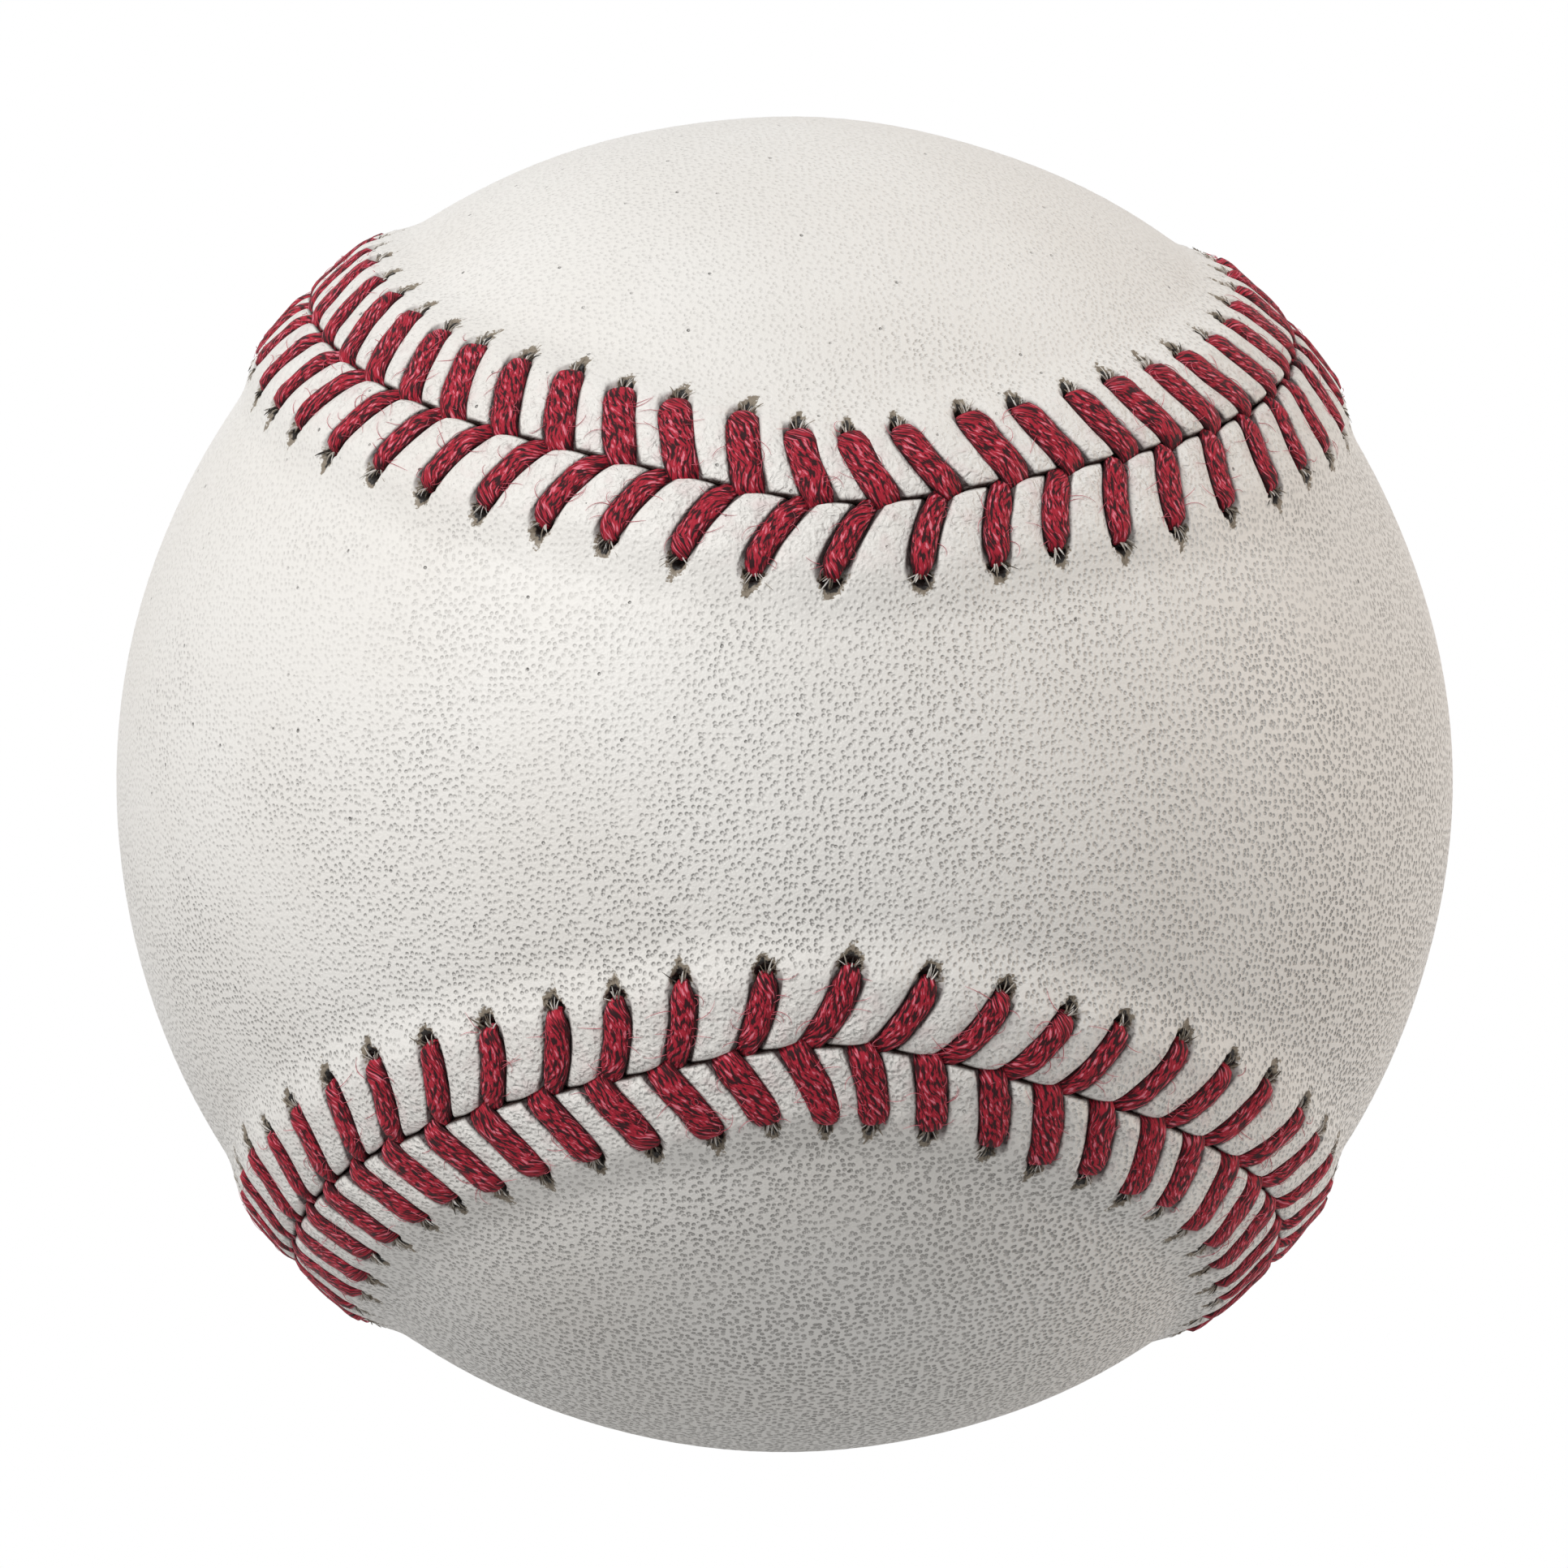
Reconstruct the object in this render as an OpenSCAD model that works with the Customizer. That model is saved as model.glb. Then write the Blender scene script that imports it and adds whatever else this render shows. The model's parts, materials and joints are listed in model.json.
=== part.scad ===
// A baseball as it is made: a cork core in two rubber shells, three wool windings and
// one of finishing yarn, and two leather panels sewn together with one red thread.
// The origin is the centre of the ball. The neck of the front panel faces -Y.

/* [Core] */
// Diameter of the cork core
core_d = 20.6; // [16:0.2:25]
// Thickness of the black rubber shell round the core
black_rubber_t = 4; // [2:0.1:6]
// Thickness of the red rubber shell round the black one
red_rubber_t = 2.4; // [1:0.1:4]
// Width of the gasket between the two black halves
gasket_w = 1.6; // [0.8:0.1:3]

/* [Windings] */
// Thickness of the first grey wool winding
grey_wool_t = 14; // [8:0.1:18]
// Thickness of the white wool winding
white_wool_t = 1.8; // [1:0.1:4]
// Thickness of the second grey wool winding
outer_grey_wool_t = 2.2; // [1:0.1:4]
// Thickness of the finishing yarn winding
finishing_yarn_t = 0.5; // [0.3:0.1:1.5]

/* [Cover] */
// Thickness of the leather
leather_t = 1.25; // [1:0.05:2]
// Width of a panel across its neck, from seam to seam
neck_w = 30; // [28:0.5:34]
// Swing of the seam to either side of its mean path, in degrees
seam_swing = 21.5; // [17:0.5:24]
// Height of the raised seam over the smooth leather
ridge_h = 0.75; // [0.65:0.05:1.2]
// Drop of the panel edges below the top of the raised seam
edge_drop = 0.3; // [0:0.05:0.4]
// Width of the slope from each edge of the leather up to the ridge's flat top
edge_slope_w = 1.15; // [0.6:0.05:1.6]
// Width of the slope from the ridge's flat top down to the smooth leather
ridge_slope_w = 3.4; // [2.6:0.1:4.4]

/* [Stitching] */
// Number of double stitches round the ball
stitch_count = 108; // [80:1:110]
// Distance from the seam to the needle holes
stitch_reach = 4.5; // [3.8:0.1:5.4]
// Distance that each hole lies behind the place where its stitch meets the seam
stitch_lean = 1.8; // [0.8:0.1:2.4]
// Width of the thread where it lies flat on the leather
thread_w = 1.7; // [1.3:0.05:1.9]
// Width of the thread where it is drawn in at the seam and under the leather
drawn_thread_w = 1.2; // [0.8:0.05:1.3]
// Width of the thread in the needle holes
thread_hole_w = 0.85; // [0.6:0.05:1]
// Thickness of the thread
thread_t = 0.6; // [0.4:0.05:0.7]

/* [Hidden] */

// Gap between one round layer and the next
layer_gap = 0.05;
// Gap between the windings and the leather
cover_gap = 0.2;
// Height of the thread over the leather that it crosses
thread_lift = 0.1;
// Height of the hidden thread over the windings
thread_rest = 0.15;
// Height of the leather over the hidden thread
thread_headroom = 0.3;
// Gap between the thread and the edge of the leather on either side of it in the seam
thread_side_gap = 0.15;
// Gap between the thread and the wall of a needle hole
thread_hole_gap = 0.175;
// Gap between the two ends of the thread where they cross in the seam
thread_gap = 0.16;
// Distance from the far side of the ridge's flat top to the needle holes
crown_margin = 0.9;
// Length of each tail of the thread past the last stitch
tail_l = 0.6;
// How far a cut runs past the surface it leaves
overrun = 1;
// Share of the thread's width that lies flat on the leather
thread_flat_share = 0.6;
// Height of the thread's widest place over its middle, as a share of half its thickness
thread_side_share = 0.2;
// Place of the first stitch, as a share of the distance between stitches
first_stitch_share = 0.5;
// Places of the rows between the ridge and the middle of a panel, as shares of the way
panel_row_shares = [0.25, 0.5, 0.75];
// Number of points round the edge of a panel, a multiple of four
panel_points = 144;
// Angle of the seam above the panel's middle line where its lobe is widest
lobe_half_angle = 45;
// Step of the table of seam lengths, in degrees of the seam's own parameter
seam_step = 1;
$fn = 96;

core_r = core_d / 2;
black_inner_r = core_r + layer_gap;
black_outer_r = black_inner_r + black_rubber_t;
red_inner_r = black_outer_r + layer_gap;
red_outer_r = red_inner_r + red_rubber_t;
grey_inner_r = red_outer_r + layer_gap;
grey_outer_r = grey_inner_r + grey_wool_t;
white_inner_r = grey_outer_r + layer_gap;
white_outer_r = white_inner_r + white_wool_t;
outer_grey_inner_r = white_outer_r + layer_gap;
outer_grey_outer_r = outer_grey_inner_r + outer_grey_wool_t;
yarn_inner_r = outer_grey_outer_r + layer_gap;
yarn_outer_r = yarn_inner_r + finishing_yarn_t;
cover_inner_r = yarn_outer_r + cover_gap;
ball_r = cover_inner_r + leather_t;

// Angle at the centre of the ball, in degrees, of a length on the leather
function angle_of(length) = length / ball_r * 180 / PI;
function unit(v) = v / norm(v);

// The seam on a ball of radius 1. Its parameter u runs over two turns: the seam passes the
// neck of the front panel at 0 and 360 and the neck of the back panel at 180 and 540.
neck_angle = angle_of(neck_w / 2);
function seam_direction(u) =
    let(
        tilt = 90 - (90 - neck_angle) * cos(u),
        turn = u / 2 + seam_swing * sin(2 * u)
    )
    [sin(tilt) * sin(turn), -cos(tilt), sin(tilt) * cos(turn)];

// Table of length along the seam against u, over one whole run of the seam
seam_table = [
    for (
        u = -180, run = 0;
        u <= 540;
        run = run + ball_r * norm(seam_direction(u + seam_step) - seam_direction(u)),
        u = u + seam_step
    ) [run, u]
];
seam_l = seam_table[len(seam_table) - 1][0];
stitch_pitch = seam_l / stitch_count;

// Length along the seam from the middle of the front panel's neck, brought into the table
function wrapped(run) = (run + seam_l / 4) - seam_l * floor((run + seam_l / 4) / seam_l);
function seam_u(run) = lookup(wrapped(run), seam_table);
function seam_out(run) = seam_direction(seam_u(run));
function seam_along(run) =
    let(u = seam_u(run))
    unit(seam_direction(u + seam_step) - seam_direction(u - seam_step));

// Direction of a point at a distance from the seam, positive towards the back panel
function beside_seam(run, distance) =
    let(out = seam_out(run), across = cross(out, seam_along(run)))
    cos(angle_of(distance)) * out + sin(angle_of(distance)) * across;

// Distances from the seam: the leather's edge, the ridge's flat top and the ridge's foot
edge_distance = thread_t / 2 + thread_side_gap;
crown_near = edge_distance + edge_slope_w;
crown_far = max(stitch_reach - crown_margin, crown_near);
ridge_reach = crown_far + ridge_slope_w;

// Height of the leather over its smooth level at a distance from the seam
function leather_rise(distance) =
    distance < crown_near
        ? ridge_h - edge_drop * cos(90 * (distance - edge_distance) / edge_slope_w)
    : distance < crown_far
        ? ridge_h
        : ridge_h * (1 + cos(180 * (distance - crown_far) / ridge_slope_w)) / 2;
// The underside keeps the height of the ridge up to the edge, to leave room for the thread
function tunnel_rise(distance) = leather_rise(max(distance, crown_near));

outer_rows = [
    edge_distance,
    crown_near,
    crown_far,
    crown_far + ridge_slope_w / 3,
    crown_far + ridge_slope_w * 2 / 3,
    ridge_reach
];
inner_rows = [
    edge_distance,
    crown_far,
    crown_far + ridge_slope_w / 2,
    ridge_reach
];

// The middle line of the front panel, from the middle of one lobe to that of the other
lobe_centre_angle = 180 - neck_angle - lobe_half_angle;
function panel_run(i) = seam_l * (i / panel_points - 1 / 4);
function middle_direction(i) =
    let(turn = lobe_centre_angle * sin(90 * (4 * i / panel_points - 1)))
    [sin(turn), -cos(turn), 0];
function inward(i, share) =
    let(mirrored = i <= panel_points / 2 ? i : panel_points - i)
    unit(beside_seam(panel_run(i), -ridge_reach) * (1 - share) + middle_direction(mirrored) * share);

// One skin of the front panel: rings of points from the edge inwards, then the middle line
function skin_points(rows, radii) = [
    for (row = [0 : len(rows) - 1])
        for (i = [0 : panel_points - 1])
            beside_seam(panel_run(i), -rows[row]) * radii[row],
    for (share = panel_row_shares)
        for (i = [0 : panel_points - 1])
            inward(i, share) * radii[len(rows) - 1],
    for (i = [0 : panel_points / 2])
        middle_direction(i) * radii[len(rows) - 1]
];
function ring_count(rows) = len(rows) + len(panel_row_shares);
function skin_index(rows, ring, i) =
    let(j = i % panel_points)
    ring < ring_count(rows)
        ? ring * panel_points + j
        : ring * panel_points + (j <= panel_points / 2 ? j : panel_points - j);
function skin_faces(rows, first, outwards) = [
    for (ring = [0 : ring_count(rows) - 1])
        for (i = [0 : panel_points - 1])
            let(
                a = first + skin_index(rows, ring, i),
                b = first + skin_index(rows, ring, i + 1),
                c = first + skin_index(rows, ring + 1, i + 1),
                d = first + skin_index(rows, ring + 1, i)
            )
            each outwards ? [[a, b, c], [a, c, d]] : [[a, c, b], [a, d, c]]
];

module panel_shell() {
    outer_radii = [for (row = outer_rows) ball_r + leather_rise(row)];
    inner_radii = [for (row = inner_rows) cover_inner_r + tunnel_rise(row)];
    outer = skin_points(outer_rows, outer_radii);
    inner = skin_points(inner_rows, inner_radii);
    edge_faces = [
        for (i = [0 : panel_points - 1])
            let(
                a = i,
                b = (i + 1) % panel_points,
                c = len(outer) + (i + 1) % panel_points,
                d = len(outer) + i
            )
            each [[a, c, b], [a, d, c]]
    ];
    polyhedron(
        points = concat(outer, inner),
        faces = concat(
            skin_faces(outer_rows, 0, true),
            skin_faces(inner_rows, len(outer), false),
            edge_faces
        ),
        convexity = 6
    );
}

// Stitches. The side is 1 towards the back panel and -1 towards the front panel.
foot_step = (drawn_thread_w + thread_gap) / 2;
function foot_run(stitch, side) =
    (stitch + first_stitch_share) * stitch_pitch + side * foot_step;
function hole_run(stitch, side) = foot_run(stitch, side) - stitch_lean;

module at_direction(v) {
    rotate([0, acos(v.z), atan2(v.y, v.x)])
        children();
}

needle_hole_d = thread_hole_w + 2 * thread_hole_gap;

module needle_holes(side) {
    for (stitch = [0 : stitch_count - 1]) {
        at_direction(beside_seam(hole_run(stitch, side), side * stitch_reach))
            translate([0, 0, cover_inner_r - overrun])
                cylinder(d = needle_hole_d, h = leather_t + ridge_h + 2 * overrun);
    }
}

// A place on the thread: where it is, the way along the seam there, its width and thickness
function thread_place(run, distance, radius, width, thickness) = [
    beside_seam(run, distance) * radius,
    seam_along(run),
    width,
    thickness
];

hidden_thread_t = min(thread_t, cover_gap + ridge_h - thread_rest - thread_headroom);
hidden_r = yarn_outer_r + thread_rest + hidden_thread_t / 2;
function over_leather_r(height) = ball_r + height + thread_lift + thread_t / 2;

// Half a double stitch: up through the hole, over the leather and down into the seam.
// At its widest place the thread is just high enough to clear the near side of the ridge.
crown_distance = (2 * crown_near + crown_far) / 3;
edge_h = ridge_h - edge_drop;
crown_h = edge_h + edge_drop * crown_distance / crown_near;
function half_stitch(stitch, side) =
    let(
        hole = hole_run(stitch, side),
        foot = foot_run(stitch, side),
        crown = foot - stitch_lean * crown_distance / stitch_reach
    )
    [
        thread_place(hole, side * stitch_reach, hidden_r, thread_hole_w, hidden_thread_t),
        thread_place(hole, side * stitch_reach, over_leather_r(ridge_h), thread_hole_w, thread_t),
        thread_place(crown, side * crown_distance, over_leather_r(crown_h), thread_w, thread_t),
        thread_place(foot, 0, over_leather_r(edge_h), drawn_thread_w, thread_t),
        thread_place(foot, 0, hidden_r, drawn_thread_w, hidden_thread_t)
    ];

// One end of the thread, from its first hole to its tail under the last stitch
function thread_end(first_side) =
    let(last_side = stitch_count % 2 == 0 ? -first_side : first_side)
    [
        for (stitch = [0 : stitch_count - 1])
            each half_stitch(stitch, stitch % 2 == 0 ? first_side : -first_side),
        thread_place(
            foot_run(stitch_count - 1, last_side),
            -last_side * tail_l,
            hidden_r,
            thread_hole_w,
            hidden_thread_t
        )
    ];
function reversed(list) = [for (i = [len(list) - 1 : -1 : 0]) list[i]];

// The middle of the thread crosses under the seam just behind the first stitch
start_run = (foot_run(0, -1) + foot_run(-1, 1)) / 2;
thread_route = concat(
    reversed(thread_end(1)),
    [thread_place(start_run, 0, hidden_r, thread_hole_w, hidden_thread_t)],
    thread_end(-1)
);

// The thread's section, crowned on top, in shares of half its width and half its thickness
thread_section_shares = [
    [0, 1],
    [-1, thread_side_share],
    [-thread_flat_share, -1],
    [thread_flat_share, -1],
    [1, thread_side_share]
];
// Where the thread runs the other way up, the same section is turned half round
function section_corner(j, crown_up) =
    crown_up ? thread_section_shares[j] : -thread_section_shares[(j + 2) % len(thread_section_shares)];

// A ring of the thread lies in the plane that halves its bend
function thread_ring(i) =
    let(
        place = thread_route[i],
        last = len(thread_route) - 1,
        before = unit(place[0] - thread_route[max(i - 1, 0)][0]),
        after = unit(thread_route[min(i + 1, last)][0] - place[0]),
        way_in = i == 0 ? after : before,
        way_out = i == last ? before : after,
        way = unit(way_in + way_out),
        wide = unit(place[1] - way * (place[1] * way)),
        thick = cross(way, wide) / (way * way_in)
    )
    [
        for (j = [0 : len(thread_section_shares) - 1])
            let(corner = section_corner(j, thick * place[0] > 0))
            place[0] + wide * corner[0] * place[2] / 2 + thick * corner[1] * place[3] / 2
    ];

module seam_thread() {
    sides = len(thread_section_shares);
    rings = len(thread_route);
    walls = [
        for (ring = [0 : rings - 2])
            for (i = [0 : sides - 1])
                let(
                    a = ring * sides + i,
                    b = ring * sides + (i + 1) % sides,
                    c = b + sides,
                    d = a + sides
                )
                each [[a, c, b], [a, d, c]]
    ];
    start_cap = [for (i = [0 : sides - 1]) i];
    end_cap = [for (i = [sides - 1 : -1 : 0]) (rings - 1) * sides + i];
    color("#A8304A")
        polyhedron(
            points = [for (ring = [0 : rings - 1]) each thread_ring(ring)],
            faces = concat(walls, [start_cap, end_cap]),
            convexity = 10
        );
}

module round_layer(inner_r, outer_r) {
    difference() {
        sphere(r = outer_r);
        sphere(r = inner_r);
    }
}

// The part of a round layer that lies above a height
module upper_half_layer(inner_r, outer_r, from_z) {
    difference() {
        round_layer(inner_r, outer_r);
        translate([-outer_r - overrun, -outer_r - overrun, -outer_r - overrun])
            cube([
                2 * (outer_r + overrun),
                2 * (outer_r + overrun),
                outer_r + overrun + from_z
            ]);
    }
}

module cork_core() {
    color("#B58A60")
        sphere(r = core_r);
}

module black_rubber_upper_half() {
    color("#26262A")
        upper_half_layer(black_inner_r, black_outer_r, gasket_w / 2);
}

module black_rubber_lower_half() {
    color("#26262A")
        mirror([0, 0, 1])
            upper_half_layer(black_inner_r, black_outer_r, gasket_w / 2);
}

module red_rubber_gasket() {
    color("#B5332E")
        intersection() {
            round_layer(black_inner_r, black_outer_r);
            cylinder(r = black_outer_r + overrun, h = gasket_w, center = true);
        }
}

module red_rubber_upper_half() {
    color("#9E2B27")
        upper_half_layer(red_inner_r, red_outer_r, 0);
}

module red_rubber_lower_half() {
    color("#9E2B27")
        mirror([0, 0, 1])
            upper_half_layer(red_inner_r, red_outer_r, 0);
}

module grey_wool_winding() {
    color("#8C8A86")
        round_layer(grey_inner_r, grey_outer_r);
}

module white_wool_winding() {
    color("#E4E0D4")
        round_layer(white_inner_r, white_outer_r);
}

module outer_grey_wool_winding() {
    color("#9A9893")
        round_layer(outer_grey_inner_r, outer_grey_outer_r);
}

module finishing_yarn_winding() {
    color("#EFEBDD")
        round_layer(yarn_inner_r, yarn_outer_r);
}

module front_leather_panel() {
    color("#ECE8E1")
        difference() {
            panel_shell();
            needle_holes(-1);
        }
}

// The back panel is cut to the same shape and turned half round between the X and Z axes
module back_leather_panel() {
    color("#ECE8E1")
        difference() {
            rotate(180, [1, 0, 1])
                panel_shell();
            needle_holes(1);
        }
}

cork_core();
black_rubber_upper_half();
black_rubber_lower_half();
red_rubber_gasket();
red_rubber_upper_half();
red_rubber_lower_half();
grey_wool_winding();
white_wool_winding();
outer_grey_wool_winding();
finishing_yarn_winding();
front_leather_panel();
back_leather_panel();
seam_thread();
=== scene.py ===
"""Looks of a baseball: two leather panels, the red thread that sews them together, and what they cover.

The packed part is the fixed frame. The leather and the thread are modelled here in full, each from the
same seam as the packed part, and every layer inside keeps its packed shape and gets its material.
Lengths are in metres.
"""

import json
import math

import bpy
import numpy as np
from bpy.props import FloatProperty, FloatVectorProperty, IntProperty, PointerProperty, StringProperty
from mathutils import Matrix, Vector


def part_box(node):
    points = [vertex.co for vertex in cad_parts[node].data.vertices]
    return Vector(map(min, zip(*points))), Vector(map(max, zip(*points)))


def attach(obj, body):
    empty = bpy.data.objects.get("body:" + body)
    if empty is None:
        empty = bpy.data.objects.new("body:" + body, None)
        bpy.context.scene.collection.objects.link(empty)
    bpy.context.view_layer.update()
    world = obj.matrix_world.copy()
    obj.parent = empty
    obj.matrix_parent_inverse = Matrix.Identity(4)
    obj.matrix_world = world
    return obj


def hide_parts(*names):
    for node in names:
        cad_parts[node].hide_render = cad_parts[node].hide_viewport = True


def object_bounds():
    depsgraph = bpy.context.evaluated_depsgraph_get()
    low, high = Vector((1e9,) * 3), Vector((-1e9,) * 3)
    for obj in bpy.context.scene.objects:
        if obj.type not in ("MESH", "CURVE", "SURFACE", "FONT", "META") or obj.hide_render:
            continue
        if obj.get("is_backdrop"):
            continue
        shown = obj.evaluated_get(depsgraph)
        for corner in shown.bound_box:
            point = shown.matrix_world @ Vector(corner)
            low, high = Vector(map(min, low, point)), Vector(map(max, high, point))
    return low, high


bl_info = {
    "name": "Baseball",
    "version": (1, 0, 0),
    "blender": (4, 5, 0),
    "location": "View3D > Sidebar > Baseball",
    "description": "Builds the cover, the stitches and the inside of a baseball round its packed part",
    "category": "Object",
}

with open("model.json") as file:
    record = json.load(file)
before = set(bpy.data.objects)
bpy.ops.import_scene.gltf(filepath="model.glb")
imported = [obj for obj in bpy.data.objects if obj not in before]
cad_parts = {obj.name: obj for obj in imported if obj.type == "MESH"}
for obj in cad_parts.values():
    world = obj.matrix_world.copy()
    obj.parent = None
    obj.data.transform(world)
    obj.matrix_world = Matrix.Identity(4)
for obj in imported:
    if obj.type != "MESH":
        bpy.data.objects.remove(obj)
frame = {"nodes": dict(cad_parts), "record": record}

MM = 0.001
BODY = "root"

# The stand seat lies on the smooth leather, so its distance from the centre is the ball's radius
BALL_RADIUS = -frame["record"]["mounts"][0]["pos_m"][2]
YARN_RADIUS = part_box("finishing_yarn_winding")[1].z
# The gap between the windings and the leather, which a coat of cement fills
COVER_GAP = 0.2 * MM

# Each side of the seam by the panel that lies there
FRONT = -1
BACK = 1


# Colours

WHITE = "#FFFFFF"


def linear(hex_colour):
    """Turns an sRGB hex colour into the linear colour that the shaders work in."""
    channels = [int(hex_colour[i : i + 2], 16) / 255 for i in (1, 3, 5)]
    return [c / 12.92 if c <= 0.04045 else ((c + 0.055) / 1.055) ** 2.4 for c in channels] + [1.0]


def toned(hex_colour, share, more=0.0):
    """The linear colour that is a share as bright as another, and a little more."""
    return [min(1.0, c * share + more) for c in linear(hex_colour)[:3]] + [1.0]


# Settings

def length_setting(name, description, default):
    return FloatProperty(name=name, description=description, default=default, unit="LENGTH", precision=5)


def light_setting(name, description, default):
    return FloatProperty(name=name, description=description, default=default, min=0)


def count_setting(name, description, default, least=1):
    return IntProperty(name=name, description=description, default=default, min=least)


def colour_setting(name, description, default):
    return StringProperty(name=name, description=description + ", as sRGB hex", default=default)


class SeamSettings(bpy.types.PropertyGroup):
    """The seam and the places of its stitches."""

    neck_width: length_setting("Neck width", "Width of a panel across its neck", 30 * MM)
    swing: FloatProperty(
        name="Swing",
        description="Swing of the seam to either side of its mean path",
        default=math.radians(21.5),
        subtype="ANGLE",
    )
    stitches: count_setting("Stitches", "Number of double stitches round the ball", 108, least=24)
    reach: length_setting("Reach", "Distance from the seam to the needle holes", 4.5 * MM)
    lean: length_setting("Lean", "Distance that a hole lies behind its stitch's foot", 1.8 * MM)
    foot_step: length_setting("Foot step", "Half the distance between a stitch's two feet", 0.5 * MM)


class CoverSettings(bpy.types.PropertyGroup):
    """The leather."""

    ridge_height: length_setting("Ridge height", "Height of the raised seam", 0.75 * MM)
    groove_depth: length_setting("Groove depth", "Depth of the groove under the thread", 0.42 * MM)
    grain_size: length_setting("Grain size", "Distance from one dimple of the grain to the next", 0.37 * MM)
    torn_fibres: count_setting("Torn fibres", "Number of raw fibres in each hole", 8)
    colour: colour_setting("Leather", "Colour of the leather", "#F2EFEA")
    shade_colour: colour_setting("Leather shade", "Colour of its darker patches", "#EDE9E3")
    # Painted shade deep in the dimples and pores of the grain
    dimple_shade_colour: colour_setting("Dimples", "Colour deep in the dimples of the grain", "#7F7A74")
    dye_colour: colour_setting("Rubbed dye", "Colour of the thread's dye on the leather", "#C4707C")
    # Painted shade in the grooves under and beside the thread, where it lies in the leather
    groove_shade_colour: colour_setting("Groove_shade", "Colour of the soil in the grooves under the thread", "#33191B")
    # Painted shade down in the seam, where the two panels meet
    seam_shade_colour: colour_setting("Seam", "Colour down in the seam", "#3A2A26")
    torn_colour: colour_setting("Torn leather", "Colour of the raw fibres round a hole", "#8E8272")
    # Painted shade inside the needle holes, which the darkest torn fibres take as their colour too
    hole_shade_colour: colour_setting("Holes", "Colour inside the needle holes", "#17110D")


class ThreadSettings(bpy.types.PropertyGroup):
    """The thread."""

    width: length_setting("Width", "Width of the thread where it lies flat", 1.8 * MM)
    thickness: length_setting("Thickness", "Thickness of the thread where it lies flat", 0.86 * MM)
    lay: length_setting("Lay", "Length of one full turn of the thread's twist", 8.5 * MM)
    plies: count_setting("Plies", "Number of strands twisted together", 3, least=2)
    fibres: count_setting("Loose fibres", "Number of loose fibres round the seam", 1600)
    colour: colour_setting("Thread", "Colour of the thread", "#B22337")
    # Dark flecks, and painted shade in the gaps between fibres and on the thread's underside
    fleck_and_shade_colour: colour_setting("Thread shade", "Colour deep between its fibres", "#2C050C")
    worn_colour: colour_setting("Worn fibres", "Colour of its raised, rubbed fibres", "#E57F90")


class InsideSettings(bpy.types.PropertyGroup):
    """The windings and the core."""

    finishing_yarn: colour_setting("Finishing yarn", "Colour of the outer winding", "#EFEBDD")
    grey_wool: colour_setting("Grey wool", "Colour of the grey wool", "#8F8D88")
    white_wool: colour_setting("White wool", "Colour of the white wool", "#E4DFD0")
    red_rubber: colour_setting("Red rubber", "Colour of the red rubber", "#9E2F28")
    black_rubber: colour_setting("Black rubber", "Colour of the black rubber", "#26262A")
    cork: colour_setting("Cork", "Colour of the cork grains", "#B98F63")
    dark_cork: colour_setting("Dark cork", "Colour of the darkest cork grains", "#8A6238")
    cork_seams: colour_setting("Cork seams", "Colour between the cork grains", "#3E2A1B")


class StageSettings(bpy.types.PropertyGroup):
    """The floor, the lamps and the camera."""

    paper: colour_setting("Paper", "Colour of the white paper that the ball lies on", "#F4F4F2")
    key: light_setting("Key", "Power of the key lamp, in watts", 9.7)
    side: light_setting("Side", "Power of the side lamp, in watts", 2.45)
    side_colour: colour_setting("Side colour", "Colour of the side lamp, a little warm", "#FFEBD8")
    fill: light_setting("Fill", "Brightness of the light from all round", 0.5)
    bounce: light_setting("Bounce", "Brightness of the light from the paper", 0.43)
    view: FloatVectorProperty(
        name="View",
        description="Tilt, roll and turn of the ball before the camera",
        default=(math.radians(-1.0), math.radians(0.98), math.radians(5.17)),
        subtype="EULER",
    )


SETTINGS = {
    "ball_seam": SeamSettings,
    "ball_cover": CoverSettings,
    "ball_thread": ThreadSettings,
    "ball_inside": InsideSettings,
    "ball_stage": StageSettings,
}


# The seam and its stitches

def smooth_step(low, high, x):
    t = np.clip((x - low) / (high - low), 0, 1)
    return t * t * (3 - 2 * t)


def unit(v):
    return v / np.linalg.norm(v, axis=-1, keepdims=True)


class Seam:
    """The seam's path over the ball, by the length from the middle of the front panel's neck."""

    # Half the stretch of u over which the seam's direction is taken
    STEP = math.radians(1)

    def __init__(self, settings):
        self.neck_angle = settings.neck_width / 2 / BALL_RADIUS
        self.swing = settings.swing
        # The path turns by half of u, so two full turns of u take it once round the ball
        self.table_u = np.radians(np.arange(-180, 541))
        steps = np.linalg.norm(np.diff(self.direction(self.table_u), axis=0), axis=-1)
        self.table_run = np.concatenate([[0], np.cumsum(steps) * BALL_RADIUS])
        self.length = self.table_run[-1]

    def direction(self, u):
        tilt = math.pi / 2 - (math.pi / 2 - self.neck_angle) * np.cos(u)
        turn = u / 2 + self.swing * np.sin(2 * u)
        return np.stack([np.sin(tilt) * np.sin(turn), -np.cos(tilt), np.sin(tilt) * np.cos(turn)], axis=-1)

    def beside(self, run, distance):
        """Direction of a place at a distance from the seam, positive towards the back panel."""
        run, distance = np.broadcast_arrays(run, distance)
        u = np.interp(np.mod(run + self.length / 4, self.length), self.table_run, self.table_u)
        out = self.direction(u)
        along = unit(self.direction(u + self.STEP) - self.direction(u - self.STEP))
        angle = (distance / BALL_RADIUS)[..., None]
        return np.cos(angle) * out + np.sin(angle) * np.cross(out, along)


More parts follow.
